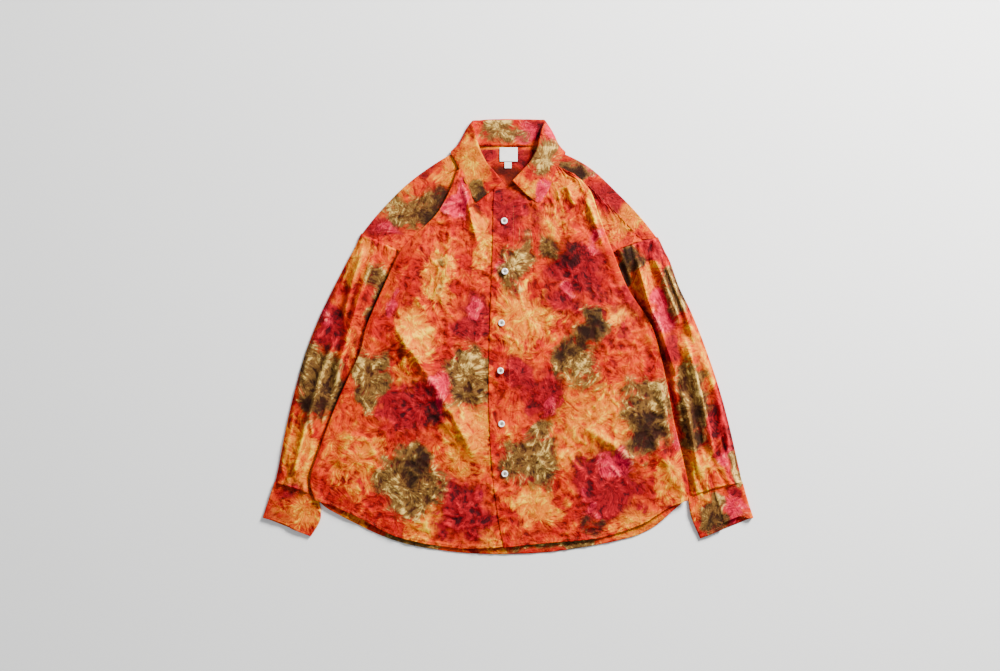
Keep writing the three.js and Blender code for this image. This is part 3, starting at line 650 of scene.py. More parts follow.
backDye = {
    "amber": [
        (-278, -330, 42, 28, 0.8), (230, -347, 60, 44, 0.8), (-24, -391, 28, 15, 0.5),
        (152, -25, 92, 92, 0.9),
    ],
    "crimson": [
        (-33, 332, 22, 20, 0.9), (27, 328, 32, 20, 0.7), (-80, -393, 28, 17, 0.6),
        (-126, -6, 74, 74, 0.9),
    ],
    "pink": [(152, -219, 56, 46, 0.7)],
    "olive": [
        (-167, -368, 60, 38, 1), (87, -388, 83, 20, 0.9), (-61, -201, 83, 65, 1), (179, 142, 65, 56, 1),
    ],
    "light": [(-98, -383, 28, 16, 0.5), (-70, -201, 37, 28, 0.7)],
    # The first two rows paint the shade inside the neck, under the collar.
    "dark_dye_and_shade": [(8, 294, 32, 23, 1), (39, 323, 20, 26, 0.6), (179, 151, 28, 28, 0.8)],
}
dyes = ["amber", "crimson", "pink", "olive", "light", "dark_dye_and_shade"]


# Where the cloth was pinched up for dyeing: about one place in each 75 mm square.
pinchX, pinchY = (row.ravel() for row in np.meshgrid(np.arange(-450, 451, 75), np.arange(-400, 401, 75)))
moved = [30 * noise(pinchX, pinchY, 31, seed) for seed in (41, 42)]
pinches = np.stack([pinchX + moved[0], pinchY + moved[1]], 1)


# Mask of each dye at points: its strength in a blot, falling to 0 past its rim, at places bent by
# two noises. ray is the way out from the middle of the nearest blot or pinch, and how far.
def dyed(points, places):
    x, y = points[:, 0], points[:, 1]
    softX, softY = x + 20 * noise(x, y, 70, 31), y + 20 * noise(x, y, 70, 33)
    bentX, bentY = softX + 12 * noise(x, y, 26, 32), softY + 12 * noise(x, y, 26, 34)
    swirlX, swirlY = (softX + bentX) / 2, (softY + bentY) / 2
    masks = {name: np.zeros(len(x)) for name in dyes}
    ray = np.zeros((len(x), 3))
    nearest = np.full(len(x), 1e9)
    blots = [("", *pinch, 40, 40, 0) for pinch in pinches]
    blots += [(name, *row) for name in dyes for row in places.get(name, [])]
    for name, middleX, middleY, halfWidth, halfHeight, strength in blots:
        outX, outY = swirlX - middleX, swirlY - middleY
        far = np.maximum(np.hypot(outX, outY), 1e-6)
        away = np.hypot(outX / halfWidth, outY / halfHeight)
        here = np.stack([outX / far, outY / far, far / 105], 1)
        ray = np.where((away < nearest)[:, None], here, ray)
        nearest = np.minimum(nearest, away)
        if name:
            away = np.hypot((bentX - middleX) / halfWidth, (bentY - middleY) / halfHeight)
            masks[name] = np.maximum(masks[name], strength * (1 - smoothstep(away, 0.35, 1.5)))
    return masks, ray


# ---- Making objects ----
def objectOf(name, parts, finish, values=None, ray=None):
    points = np.concatenate([part["points"] for part in parts])
    offsets = np.cumsum([0] + [len(part["points"]) for part in parts])
    faces = np.concatenate([part["faces"] + offset for part, offset in zip(parts, offsets)])
    sharp = np.concatenate([part["sharp"] for part in parts])
    mesh = bpy.data.meshes.new(name)
    mesh.vertices.add(len(points))
    mesh.vertices.foreach_set("co", (points * mm).astype(np.float32).ravel())
    mesh.loops.add(faces.size)
    mesh.loops.foreach_set("vertex_index", faces.astype(np.int32).ravel())
    mesh.polygons.add(len(faces))
    starts = np.arange(0, faces.size, faces.shape[1], dtype=np.int32)
    mesh.polygons.foreach_set("loop_start", starts)
    mesh.update(calc_edges=True)
    mesh.attributes.new("sharp_face", "BOOLEAN", "FACE").data.foreach_set("value", sharp)
    for key, numbers in (values or {}).items():
        mesh.attributes.new(key, "FLOAT", "POINT").data.foreach_set("value", numbers.astype(np.float32))
    if ray is not None:
        spots = mesh.attributes.new("ray", "FLOAT_VECTOR", "POINT")
        spots.data.foreach_set("vector", ray.astype(np.float32).ravel())
    mesh.materials.append(finish)
    made = bpy.data.objects.new(name, mesh)
    bpy.context.scene.collection.objects.link(made)
    return made


# How far each point of a grid lies under the mean height round it, from -1 on ridges to 1; the cotton paints
# it as shade in the hollows and as highlight on the ridges.
def hollows(grid, reach=4):
    kernel = np.ones(2 * reach + 1) / (2 * reach + 1)
    mean = grid[..., 2]
    for axis in (0, 1):
        mean = np.apply_along_axis(
            lambda row: np.convolve(np.pad(row, reach, mode="edge"), kernel, "valid"), axis, mean
        )
    return np.clip((mean - grid[..., 2]) / 1.1, -1, 1).ravel()


# A piece of dyed cloth from parts: the outer surface, a wall made from it, and its table of dye.
def clothPiece(node, parts):
    masks, rays = zip(*[dyed(part["points"], places) for _, part, places in parts])
    values = {name: np.concatenate([mask[name] for mask in masks]) for name in dyes}
    values["relief_shade_and_highlight"] = np.concatenate([np.tile(hollows(surface), 2) for surface, _, _ in parts])
    walls = [part for _, part, _ in parts]
    made = objectOf("cloth_" + node, walls, cottonCloth, values, np.concatenate(rays))
    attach(made, "root")
    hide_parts(node)
    return made


# A row of stitches along a line of points: a short pillow for each, with a gap between them.
def stitchRow(line, pitch=3.4, length=2.4, width=0.55, height=0.4):
    line = even(line, 1500)
    total = lengthOf(line)
    middles = np.arange(pitch, total - pitch, pitch)
    a, b = (at(line, (middles + shift) / total) for shift in (-length / 2, length / 2))
    side = np.cross([0, 0, 1.0], b - a)
    side *= width / 2 / np.maximum(np.linalg.norm(side, axis=1, keepdims=True), 1e-9)
    up = np.array([0, 0, height])
    sink = np.array([0, 0, 0.25])
    inset = (b - a) * 0.18
    corners = [a - side - sink, a + side - sink, b + side - sink, b - side - sink]
    corners += [a - side * 0.5 + inset + up, a + side * 0.5 + inset + up]
    corners += [b + side * 0.5 - inset + up, b - side * 0.5 - inset + up]
    points = np.stack(corners, 1).reshape(-1, 3)
    one = np.array([[0, 1, 2, 3], [4, 7, 6, 5], [0, 4, 5, 1], [1, 5, 6, 2], [2, 6, 7, 3], [3, 7, 4, 0]])
    faces = (np.arange(len(a))[:, None, None] * 8 + one).reshape(-1, 4)
    return {"points": points, "faces": faces, "sharp": np.zeros(len(faces), bool)}


def stitchPiece(name, lines):
    made = objectOf(name, [stitchRow(line) for line in lines], seamThread)
    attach(made, "root")
    return made


# A line across a grid at a fractional column for each row.
def lineDown(grid, columns):
    low = np.clip(np.floor(columns).astype(int), 0, grid.shape[1] - 2)
    share = (columns - low)[:, None]
    rows = np.arange(len(grid))
    return grid[rows, low] * (1 - share) + grid[rows, low + 1] * share


# ---- Outlines ----
# Side folds of the body, where the front rolls over: first over the shoulder, then over the sleeve.
fold = {
    "left": [(118, 300), (148, 271), (166, 222), (190, 158), (220, 86), (260, 24), (281, -43),
        (303, -154), (320, -225), (330, -275), (329, -302)],
    "right": [(-92, 306), (-106, 268), (-130, 225), (-167, 188), (-196, 157), (-226, 95), (-259, 18),
        (-272, -32), (-311, -117), (-341, -196), (-362, -262), (-353, -302)],
}
shoulder = {
    "left": [(66, 349), (99, 339), (152, 311), (207, 260), (244, 221), (276, 181)],
    "right": [(-66, 349), (-99, 339), (-144, 313), (-191, 277), (-237, 230), (-270, 189)],
}
yokeSeam = {
    "left": [(62, 330), (88, 316), (134, 290), (187, 241), (222, 205), (246, 179)],
    "right": [(-62, 330), (-86, 315), (-128, 291), (-174, 254), (-216, 211), (-243, 180)],
}
armhole = {
    "left": [(276, 181), (246, 178), (218, 169), (190, 156)],
    "right": [(-270, 189), (-243, 179), (-218, 168), (-196, 156)],
}
neckline = {
    "left": [(-26, 272), (0, 275), (24, 285), (45, 305), (61, 329)],
    "right": [(8, 274), (-20, 278), (-42, 296), (-61, 328)],
}
frontEdge = {
    "left": [(-26, 272), (-28, 160), (-33, 10), (-35, -117), (-29, -240), (-18, -330), (-7, -389)],
    "right": [(8, 274), (4, 20), (3, -200), (8, -386)],
}
hem = {
    "left": [(-7, -389), (61, -382), (170, -371), (244, -347), (296, -316), (329, -302)],
    "right": [(8, -386), (-89, -391), (-200, -371), (-274, -334), (-320, -314), (-353, -302)],
}
backHem = [(-353, -302), (-325, -322), (-218, -374), (-110, -397), (0, -402), (110, -394),
    (244, -365), (308, -318), (329, -302)]
backNeck = [(-66, 349), (-48, 348.5), (0, 350.5), (48, 348.5), (66, 349)]
# Rows of a sleeve or cuff: inner x and y, outer x and y, rise of the middle, and for a cuff how far
# the upper layer stands back at the wrist.
sleeveRows = {
    "left": [(189, 156, 277, 184, 3.5), (195, 132, 290, 157, 4), (200, 116, 300, 137, 4),
        (200, 86, 316, 92, 3), (202, 40, 339, 44, 2), (217, -25, 364, -18, 0),
        (248, -105, 390, -95, 0), (276, -175, 409, -165, 0), (303, -240, 424, -230, 2),
        (333, -300, 433, -271, 3)],
    "right": [(-194, 155, -271, 191, -2.5), (-201, 132, -284, 162, -3), (-207, 116, -298, 137, -2),
        (-215, 86, -321, 92, 0), (-222, 30, -349, 34, 0), (-246, -40, -376, -36, 0),
        (-272, -105, -396, -108, 0), (-297, -170, -411, -172, 0), (-322, -236, -424, -240, -2),
        (-349, -303, -431, -271, -3)],
}
cuffRows = {
    "left": [(332.5, -297, 433, -268, 3, 0), (338, -332, 443, -303, 2, 0),
        (355, -373, 453, -334, 0, 12)],
    "right": [(-349.5, -300, -431, -268, -3, 0), (-346, -336, -443, -303, -2, 0),
        (-364, -369, -453, -334, 0, 3)],
}
cuffLap = [(381, -289), (388, -312), (398, -339), (404, -360)]  # where the left cuff's end overlaps
innerLine = {
    "left": [(203, 86)] + [row[:2] for row in sleeveRows["left"][4:]],
    "right": [(-215, 86)] + [row[:2] for row in sleeveRows["right"][4:]],
}

# Folds as start, bend and end, then height and the half widths to the right and left of that way.
bodyFolds = [
    (150, 262, 160, 214, 184, 160, 6, 11, 9), (133, 206, 116, 165, 74, 138, 5, 14, 20),
    (216, 58, 140, -30, 68, -173, 7, 26, 18), (133, -164, 180, -190, 263, -247, 5, 16, 16),
    (264, -180, 296, -225, 306, -285, 4, 13, 13), (106, 282, 114, 262, 124, 236, 4, 8, 8),
    (-83, 288, -72, 234, -54, 160, 5, 9, 9), (-104, 240, -106, 170, -122, 60, 4, 14, 12),
    (-227, 40, -110, -110, -48, -255, 8, 18, 24), (-283, -170, -300, -205, -315, -246, 4, 12, 12),
    (-134, 208, -185, 140, -238, 30, 4, 13, 14),
]
sleeveFolds = {
    "left": [(233, 158, 250, 60, 318, -90, 10, 5, 15), (262, 160, 292, 90, 322, 10, 8, 9, 7),
        (322, 10, 352, -90, 384, -240, 10, 14, 5), (318, -90, 336, -170, 352, -272, 8, 6, 12),
        (366, -30, 390, -110, 412, -230, 6, 9, 7), (284, 150, 318, 70, 346, -20, 5, 7, 7)],
    "right": [(-262, 166, -290, 100, -305, 12, 8, 7, 11), (-240, 160, -282, 60, -326, -130, 10, 14, 5),
        (-305, 12, -350, -60, -376, -210, 8, 8, 11), (-362, -130, -384, -210, -398, -270, 7, 6, 9),
        (-318, -110, -340, -190, -362, -290, 6, 8, 7)],
}


# ---- Heights ----
# The back lies on the surface, and is lifted by the sleeve under it and the collar under the neck.
# A layer over it starts to rise earlier, by spread.
def backLevel(x, y, spread=0.0):
    inner = np.where(x > 0, xAt(innerLine["left"], y), -xAt(innerLine["right"], y))
    reach = np.abs(x) - inner + spread
    onSleeve = smoothstep(reach, -78, -36) * (1 - smoothstep(y - spread, 128, 160))
    onCollar = smoothstep(y + spread, 296, 320) * (1 - smoothstep(np.abs(x), 112, 150))
    return sleeveStack * onSleeve + collarStack * onCollar


def underFront(x, y):
    return backLevel(x, y, 26.0) + layer


# ---- Fronts ----
# Both fronts share one height: the layers below, a ridge by the side fold, the folds and crumples,
# so that one lies in the other where they overlap.
def frontGrid(side):
    foldLine = curve(fold[side])
    seamLine = curve(yokeSeam[side])
    top = chain(curve(neckline[side]), stretch(seamLine, 0.02, 0.27 if side == "left" else 0.13))
    hemLine = curve(hem[side])
    down = np.concatenate([np.linspace(0, 0.978, 262), np.linspace(0.978, 1, 17)[1:]])
    across = np.linspace(0, 1, 141)
    x, y, u, v = patch(curve(frontEdge[side]), foldLine, top, hemLine, across, down)
    rowLength = np.linalg.norm(np.diff(np.stack([x, y], -1), axis=1), axis=-1).sum(1)[:, None]
    columnLength = np.linalg.norm(np.diff(np.stack([x, y], -1), axis=0), axis=-1).sum(0)[None]
    fromHem = (1 - v) * columnLength
    fromTop = v * columnLength
    fromEdge = u * rowLength
    fromFold = (1 - u) * rowLength
    beside = smoothstep(y, 120, 152) * (1 - smoothstep(y, 262, 290))
    z = underFront(x, y) + skin + 2.2 * smoothstep(u, 0.7, 0.86) * beside
    z += 4.2 * (1 - smoothstep(fromFold, 3, 26))  # the rolled side fold stands up a little
    settled = smoothstep(fromTop, 2, 22) * (0.35 + 0.65 * smoothstep(fromFold, 1, 14))
    z += 1.7 * relief(bodyFolds, x, y, 1.25) * smoothstep(fromFold, 2, 16)
    z += 0.85 * crumple(x, y, 11) * settled
    z += 1.2 * (1 + noise(x, y, 70, 3)) * settled
    gathers = np.abs(np.sin(u * rowLength[0] * math.pi / 13 + 3 * noise(x, y, 30, 5)))
    z += 2.4 * gathers * smoothstep(u, 0.55, 0.75) * np.exp(-fromTop / 38)
    puckers = 0.35 * np.sin(fromEdge * 2 * math.pi / 8 + 2 * noise(x, y, 30, 6)) * np.exp(-fromHem / 10)
    z += 0.45 * (1 - smoothstep(fromHem, 6.2, 7.8)) + puckers + 0.35
    if side == "left":
        z += layer * (1 - smoothstep(x, 20, 44))
    return np.stack([x, y, z], -1), rowLength


# The part of a front beyond its side fold, up to the yoke and the armhole.
def outerGrid(side, sign):
    foldLine = curve(fold[side])
    seamLine = curve(yokeSeam[side])
    tucked = even(stretch(foldLine, 0.02, shareAt(foldLine, 160)), 9)
    inside = tucked + [-14 * sign, 2]
    sleeveSide = even(stretch(curve(armhole[side]), 0.97, 0.3), 9)
    lifted = np.concatenate([inside[8:], sleeveSide + [0, -2.5]])
    yokeSide = even(stretch(seamLine, 0.18 if side == "left" else 0.06, 0.985), 9)
    left = curve(np.concatenate([yokeSide[:1], inside[1:]]))
    right = curve(np.stack([yokeSide[8], lifted[9]]))
    shares = np.linspace(0, 1, 71), np.linspace(0, 1, 29)
    x, y, u, v = patch(left, right, curve(yokeSide), curve(lifted), *shares)
    z = underFront(x, y) + skin - 0.6 * (1 - u) + 1.6 * smoothstep(v, 0.5, 1) * smoothstep(u, 0.1, 0.3)
    free = smoothstep(u, 0.12, 0.4)
    z += 0.6 * crumple(x, y, 11) * free
    gathers = np.abs(np.sin(u * 150 * math.pi / 15 + 3 * noise(x, y, 30, 8)))
    z += 1.7 * gathers * np.exp(-v * 2.2) * free
    return np.stack([x, y, z], -1)


foldRadius = 2.3  # bend of the cloth at the side fold
edgeRadius = 0.95  # bend of the folded front edge
frontGrids, fronts = {}, {}
for side, sign, places in (("right", -1, rightFrontDye), ("left", 1, leftFrontDye)):
    grid, rowLength = frontGrid(side)
    frontGrids[side] = (grid, rowLength)
    main = rolled(grid, foldRadius)
    if side == "left":
        main = rolled(main[:, ::-1], edgeRadius, turn=120, steps=5, tuck=0.3)[:, ::-1]
    outer = outerGrid(side, sign)
    parts = [(main, sheetWall(main), places), (outer, sheetWall(outer), shoulderDye)]
    fronts[side] = clothPiece("front_" + side, parts)
print("fronts made")


# ---- Back ----
def backGrid():
    left = curve(fold["right"])
    right = curve(fold["left"])
    left = stretch(left, shareAt(left, 157), 1) + [3.0, 0]
    right = stretch(right, shareAt(right, 157), 1) + [-3.0, 0]
    top = curve([left[0], (-150, 214), (0, 240), (150, 214), right[0]])
    bottom = curve([left[-1], *backHem[1:-1], right[-1]])
    down = np.concatenate([np.linspace(0, 0.95, 110), np.linspace(0.95, 1, 21)[1:]])
    x, y, u, v = patch(left, right, top, bottom, np.linspace(0, 1, 191), down)
    fromHem = (1 - v) * 590
    z = backLevel(x, y) + skin - 0.25
    inner = smoothstep(u, 0, 0.03) * smoothstep(1 - u, 0, 0.03)
    z += 0.45 * crumple(x, y, 51) * (1 - smoothstep(fromHem, 14, 26)) * inner
    z += 0.3 * (1 - smoothstep(fromHem, 6.2, 7.8))
    return np.stack([x, y, z], -1)


backPlane = backGrid()
back = clothPiece("back", [(backPlane, sheetWall(backPlane), backDye)])


# ---- Yoke: the plate inside the neck and a wrap over each shoulder ----
def yokePlate():
    left, right = (stretch(curve(armhole[side]), 0.02, 0.95) for side in ("right", "left"))
    top = np.concatenate([
        stretch(curve(shoulder["right"]), 0.99, 0), curve(backNeck)[1:],
        stretch(curve(shoulder["left"]), 0, 0.99)[1:],
    ])
    top = even(top + (np.array([0, 262]) - top) * 0.008)
    bottom = curve([left[-1], (-150, 215), (0, 241), (150, 215), right[-1]])
    across = np.linspace(0, 1, 161)
    x, y, u, v = patch(left, right, top, bottom, across, np.linspace(0, 1, 33))
    return np.stack([x, y, backLevel(x, y) + skin], -1)


def yokeWrap(side):
    shares = np.linspace(0, 1, 150)
    turn, front = at(curve(shoulder[side]), shares), at(curve(yokeSeam[side]), shares)
    way = (front - turn) / np.linalg.norm(front - turn, axis=1, keepdims=True)
    low = backLevel(turn[:, 0], turn[:, 1]) + 0.6
    inset = turn + (front - turn) * 0.4
    corners = [
        np.column_stack([front + way * 1.2, low + layer + 1.1]),
        np.column_stack([turn, low + layer + 0.7]),
        np.column_stack([turn, low]),
        np.column_stack([inset, low]),
    ]
    grid = roundedPath(corners, 1.6, 13, 5)
    ripple = 0.5 * noise(grid[..., 0], grid[..., 1], 26, 61) + 0.25 * noise(grid[..., 0], grid[..., 1], 9, 62)
    grid[..., 2] += ripple * (grid[..., 2] > (low + 1)[:, None])
    return grid


wraps = {side: yokeWrap(side) for side in ("left", "right")}
plate = yokePlate()
yokeParts = [(plate, sheetWall(plate), backDye)]
for grid in wraps.values():
    half = outward(grid) * 0.35
    yokeParts.append((grid, wall(grid + half, grid - half), shoulderDye))
yoke = clothPiece("back_yoke", yokeParts)
print("back and yoke made")


# ---- Sleeves and cuffs: flattened tubes ----
# Each section runs along the surface from its outer edge to its inner one, round it, back over the
# top and round the outer edge.
def tube(rows, rings, steps, topOf, setBack=None):
    places = np.linspace(0, len(rows) - 1, rings)
    track = spline(rows, places)
    start, end, bow = track[:, :2], track[:, 2:4], track[:, 4:5]
    width = np.linalg.norm(end - start, axis=1, keepdims=True)
    out = np.stack([start[:, 1] - end[:, 1], end[:, 0] - start[:, 0]], 1) / width
    bend = np.radians([25, 50, 75, 105, 130, 155])
    arc = 1 - np.sin(bend)
    rim = 1.9 / width
    lower = np.linspace(1, 0, steps // 2)
    upper = np.linspace(0, 1, steps)

    def place(t):
        straight = start[:, None] + (end - start)[:, None] * t[..., None]
        return straight + (out * bow)[:, None] * (4 * t * (1 - t))[..., None]

    span = 1 - 2 * rim
    share = (places / (len(rows) - 1))[:, None]
    onFloor = rim + span * lower
    onTop = rim + span * upper
    spotTop = place(onTop)
    top = topOf(spotTop[..., 0], spotTop[..., 1], onTop, share * np.ones_like(onTop), width)
    innerArc, outerArc = rim * arc, 1 - rim * arc[::-1]

    def side(t, z, fromBottom):
        half = (z[:, None] - 0.1) / 2
        turn = bend if fromBottom else bend[::-1]
        flat = place(t)
        return np.concatenate([flat, (0.1 + half * (1 - np.cos(turn)))[..., None]], -1)

    down = track[-1, 2:4] - track[-2, 2:4]
    down = down / np.linalg.norm(down)
    if setBack is not None:
        spotTop = spotTop - down * setBack(onTop, share)[..., None]
    floor = np.concatenate([place(onFloor), np.full((*onFloor.shape, 1), 0.1)], -1)
    ceiling = np.concatenate([spotTop, top[..., None]], -1)
    innerSide = side(innerArc, top[:, 0], True)
    outerSide = side(outerArc, top[:, -1], False)
    ring = np.concatenate([floor, innerSide, ceiling, outerSide], 1)
    return ring, ceiling


def sleeve(side, seed):
    def topOf(x, y, t, share, width):
        beyond = np.abs(x) - np.abs(xAt(fold[side], y))
        seen = smoothstep(beyond, 5, 18)
        rim = smoothstep((1 - t) * width, 0, 13)
        ends = smoothstep(share, 0.0, 0.03) * (1 - smoothstep(share, 0.985, 1))
        folded = 1.6 * relief(sleeveFolds[side], x, y, 1.25) * smoothstep(share, 0, 0.06)
        z = cloth + layer + folded * seen * rim
        z += 0.95 * crumple(x, y, seed, 0.5) * seen * (0.3 + 0.7 * rim) * ends
        z += 1.2 * (1 + noise(x, y, 60, seed + 20)) * seen * rim * ends
        z += 3.0 * smoothstep((1 - t) * width, 0, 9) * seen * ends
        pleats = np.abs(np.sin(t * width * math.pi / 12 + 1.5 * noise(x, y, 40, seed + 21)))
        z += 3.6 * pleats * np.exp(-share / 0.1) * seen * smoothstep(share, 0, 0.02)
        tucks = np.abs(np.sin(t * width * math.pi / 18 + 1.5 * noise(x, y, 50, seed + 22)))
        z += 3.6 * tucks * np.exp(-(1 - share) / 0.12) * seen * rim * (1 - smoothstep(share, 0.985, 1))
        return z

    return tube(sleeveRows[side], 205, 62, topOf)[0]


# The left cuff's upper layer steps up where its end overlaps.
def cuff(side, seed):
    def topOf(x, y, t, share, width):
        z = np.full_like(x, cloth + layer + 1.3)
        z += 0.8 * (1 + noise(x, y, 24, seed)) + 0.3 * crumple(x, y, seed)
        z -= 0.5 * np.exp(-(((t * width - 4.5) / 1.2) ** 2)) + 0.4 * (1 - smoothstep(share, 0, 0.05))
        if side == "left":
            z += 1.9 * smoothstep(x - xAt(cuffLap, y), -1.2, 1.2)
        return z

    def setBack(t, share):
        mouth = cuffRows[side][-1][5] * smoothstep(share, 0.4, 1)
        return mouth * smoothstep(t, 0.4, 0.5) * (1 - smoothstep(t, 0.75, 0.98))

    return tube(cuffRows[side], 37, 56, topOf, setBack)


sleeves, cuffs, cuffTops = {}, {}, {}
for side, places in (("right", rightSleeveDye), ("left", leftSleeveDye)):
    seed = 71 if side == "left" else 101
    ring = sleeve(side, seed)
    ringWall = wall(ring, ring - outward(ring, True) * ply, True)
    sleeves[side] = clothPiece("sleeve_" + side, [(ring, ringWall, places)])
    ring, cuffTops[side] = cuff(side, seed + 40)
    ringWall = wall(ring, ring - outward(ring, True) * 0.9, True)
    cuffs[side] = clothPiece("cuff_" + side, [(ring, ringWall, places)])
print("sleeves and cuffs made")

# ---- Collar ----
# Points round the neck from the right front end to the left one: the neck seam, the roll line, the
# outside of the leaf and its free edge.
collarRows = np.array([
    [-18, 280, 6.4, -9, 288, 13, -35, 266, 10, -59, 246, 8.6],
    [-36, 297, 6.4, -20, 301, 15, -49, 283, 11, -71, 267, 8.4],
    [-51, 315, 6.4, -37, 321, 17, -62, 306, 12, -83, 292, 8.4],
    [-58, 334, 6.4, -50, 345, 18, -76, 334, 13, -97, 323, 8.6],
    [-60, 346, 6.4, -55, 360, 18, -86, 354, 11, -105, 341, 5.4],
    [-57, 352.5, 5, -61, 384, 15, -86, 369, 1.6, -84, 350, 0.6],
    [-46, 351.6, 2.6, -66, 396.6, 10, -70, 394, 1.2, -62, 337, 0.6],
    [-30, 351.8, 2.6, -54, 399.2, 8, -56, 399, 0.6, -48, 332, 0.6],
    [0, 352, 2.6, 0, 400.4, 8, 0, 400.4, 0.6, 0, 330, 0.6],
    [30, 351.8, 2.6, 56, 400.6, 8, 58, 400.2, 0.6, 48, 332, 0.6],
    [46, 351.6, 2.6, 68, 398.8, 10, 71, 396, 1.2, 62, 337, 0.6],
    [57, 352.5, 5, 62, 385, 15, 88, 370, 1.6, 85, 350, 0.6],
    [60, 346, 6.4, 56, 364, 18, 87, 354, 11, 106, 341, 5.4],
    [58, 334, 6.4, 51, 345, 18, 77, 334, 13, 98, 326, 8.6],
    [49, 314, 6.4, 40, 325, 17, 64, 306, 12, 86, 299, 8.4],
    [32, 297, 6.4, 26, 309, 15, 49, 283, 11, 74, 269, 8.4],
    [16, 284, 6.4, 6, 288, 13, 33, 262, 10, 57, 243, 8.6],
])


leafLength = 430


def collarGrid():
    share = np.linspace(0, 1, 171)
    track = spline(collarRows, share * (len(collarRows) - 1))
    neck, roll, turn, tip = (track[:, k : k + 3] for k in (0, 3, 6, 9))
    fromEnd = np.minimum(share, 1 - share) * leafLength
    corner = 9.0
    pull = corner * (1 - np.sqrt(1 - np.clip(1 - fromEnd / corner, 0, 1) ** 2))[:, None]
    leaf = np.linalg.norm(turn - tip, axis=1, keepdims=True)
    tip = tip + (turn - tip) / leaf * pull * 0.8
    grid = roundedPath([neck, roll, turn, tip], 6, 15, 6)
    out = outward(grid)
    wave = 0.7 * noise(grid[..., 0], grid[..., 1], 30, 81) + 0.35 * noise(grid[..., 0], grid[..., 1], 11, 82)
    return grid + out * wave[..., None]


collarSurface = collarGrid()
collarOut = outward(collarSurface)
faces = [collarSurface + collarOut * 0.7, collarSurface - collarOut * 0.7]
for face in faces:
    face[..., 2] = np.maximum(face[..., 2], 0.05)
rollColumn = 18  # the middle of the first bend, where the band ends and the leaf starts
collarParts = []
for columns, places in ((slice(0, rollColumn + 1), bandDye), (slice(rollColumn, None), leafDye)):
    band = [face[:, columns] for face in faces]
    collarParts.append((collarSurface[:, columns], wall(*band), places))
collar = clothPiece("collar", collarParts)
print("collar made")


# ---- Label and size tab, both left bare ----
def flatTape(node, x, y, width, height):
    across, down = np.meshgrid(np.linspace(-0.5, 0.5, 34), np.linspace(0.5, -0.5, 28))
    px, py = x + across * width, y + down * height
    z = backLevel(px, py) + cloth + 1.3 + 0.25 * noise(px, py, 14, 91)
    made = objectOf("tape_" + node, [sheetWall(np.stack([px, py, z], -1), 0.5)], tape)
    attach(made, "root")
    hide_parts(node)
    return made


neckLabel = flatTape("neck_label", 1, 336, 33, 26)
sizeTab = flatTape("size_tab", 0, 316.5, 13, 11)


# ---- Buttons ----
# A turned disc: flat underside, rounded rim and a dish with four holes sunk into it.
def buttonPart(x, y, z, turn):
    profile = np.array([(0.02, 0), (4.3, 0), (5.6, 0.45), (6.0, 1.1), (5.75, 1.75), (5.0, 2.2), (4.3, 2.3),
        (3.7, 1.95), (3.2, 1.55), (0.02, 1.4)])
    line = even(profile, 64)
    angles = np.linspace(0, 2 * math.pi, 73)[:-1]
    radius = line[:, 0][:, None]
    px, py = radius * np.cos(angles), radius * np.sin(angles)
    pz = line[:, 1][:, None] + 0 * px
    upper = np.arange(len(line))[:, None] > 30
    # dark: painted shade of the sunk dish and of the holes.
    dark = (1 - smoothstep(radius, 2.4, 4.3)) * upper + 0 * px
    for k in range(4):
        hole = turn + math.pi / 4 + k * math.pi / 2
        away = np.hypot(px - 1.25 * math.cos(hole), py - 1.25 * math.sin(hole))
        pz = pz - 1.0 * (1 - smoothstep(away, 0.45, 0.8)) * upper
        dark = np.maximum(dark, (1 - smoothstep(away, 0.5, 0.9)) * upper)
    grid = np.stack([x + px, y + py, z + pz], -1)
    rows, columns = grid.shape[:2]
    index = np.arange(rows * columns).reshape(rows, columns)
    index = np.concatenate([index, index[:, :1]], 1)
    quads = np.stack([index[:-1, :-1], index[:-1, 1:], index[1:, 1:], index[1:, :-1]], -1).reshape(-1, 4)
    return {"points": grid.reshape(-1, 3), "faces": quads, "sharp": np.zeros(len(quads), bool)}, dark.ravel()


# Two crossed strands between the holes.
def buttonStrands(x, y, z, turn):
    lines = []
    for lean in (turn + math.pi / 4, turn - math.pi / 4):
        way = np.array([math.cos(lean), math.sin(lean)])
        t = np.linspace(-1.25, 1.25, 9)
        lift = 1.5 + 0.5 * np.cos(t / 1.25 * math.pi / 2)
        lines.append(np.column_stack([x + way[0] * t, y + way[1] * t, z + lift]))
    parts = []
    for line in lines:
        angles = np.linspace(0, 2 * math.pi, 9)[:-1]
        way = np.gradient(line, axis=0)
        side = np.cross(way, [0, 0, 1.0])
        side /= np.linalg.norm(side, axis=1, keepdims=True)
        up = np.array([0, 0, 1.0])
        ring = line[:, None] + 0.34 * (side[:, None] * np.cos(angles)[:, None] + up * np.sin(angles)[:, None])
        parts.append(wall(ring, line[:, None] + (ring - line[:, None]) * 0.3, True))
    return parts


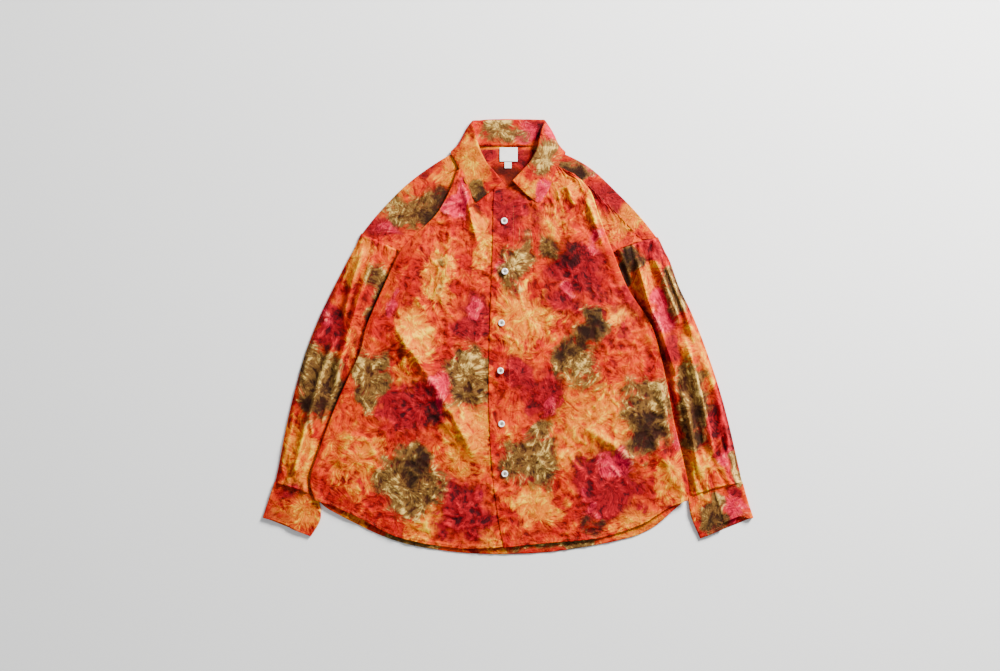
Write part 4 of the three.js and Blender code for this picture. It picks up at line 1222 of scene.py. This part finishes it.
underButton = 6.5  # a button rests on the highest cloth within this far of its middle
buttonPlaces = [(-7, 213), (-6, 120), (-12, 25), (-14, -63), (-12, -161), (-6, -253)]
flatGrid = frontGrids["left"][0].reshape(-1, 3)
for k, (x, y) in enumerate(buttonPlaces):
    near = flatGrid[np.hypot(flatGrid[:, 0] - x, flatGrid[:, 1] - y) < underButton]
    z = near[:, 2].max() + 0.1
    turn = 0.4 + 0.9 * k
    part, dark = buttonPart(x, y, z, turn)
    disc = objectOf(f"pearl_button_{k + 1}", [part], shell, {"dish_shade": dark})
    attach(disc, "root")
    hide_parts(f"button_{k + 1}")
    strands = objectOf(f"strands_{k + 1}", buttonStrands(x, y, z, turn), buttonThread)
    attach(strands, "root")
print("label, tab and buttons made")


# ---- Stitches ----
lift = np.array([0, 0, 0.05])
placketWidth = 36  # front edge to its row of stitches
for side in ("left", "right"):
    grid, rowLength = frontGrids[side]
    lines = [grid[-6, 2:] + lift]
    if side == "left":
        columns = placketWidth / rowLength[:, 0] * (grid.shape[1] - 1)
        lines.append(lineDown(grid, columns)[14:-6] + lift)
    stitchPiece("stitches_front_" + side, lines)
    "front_" + side
    top = cuffTops[side]
    lines = [top[5, 3:-3] + lift, top[-5, 3:-3] + lift, top[5:-5, 4] + lift]
    stitchPiece("stitches_cuff_" + side, lines)
    "cuff_" + side
stitchPiece("stitches_back", [backPlane[-6, 3:-3] + lift])
stitchPiece("stitches_yoke", [grid[4:-4, 1] + [0, 0, 0.4] for grid in wraps.values()])
outOfLeaf = collarOut[:, -4] * np.sign(collarOut[:, -4, 2:])
upLeaf = collarSurface[:, -4] + outOfLeaf * 0.75
stitchPiece("stitches_collar", [upLeaf[3:60], upLeaf[111:168]])
print("stitches made")

# ---- Floor ----
floorMesh = bpy.data.meshes.new("floor")
reach = 6.0
corners = [(-reach, -reach, 0), (reach, -reach, 0), (reach, reach, 0), (-reach, reach, 0)]
floorMesh.from_pydata(corners, [], [(0, 1, 2, 3)])
floorMesh.materials.append(floorPaper)
floor = bpy.data.objects.new("floor", floorMesh)
bpy.context.scene.collection.objects.link(floor)
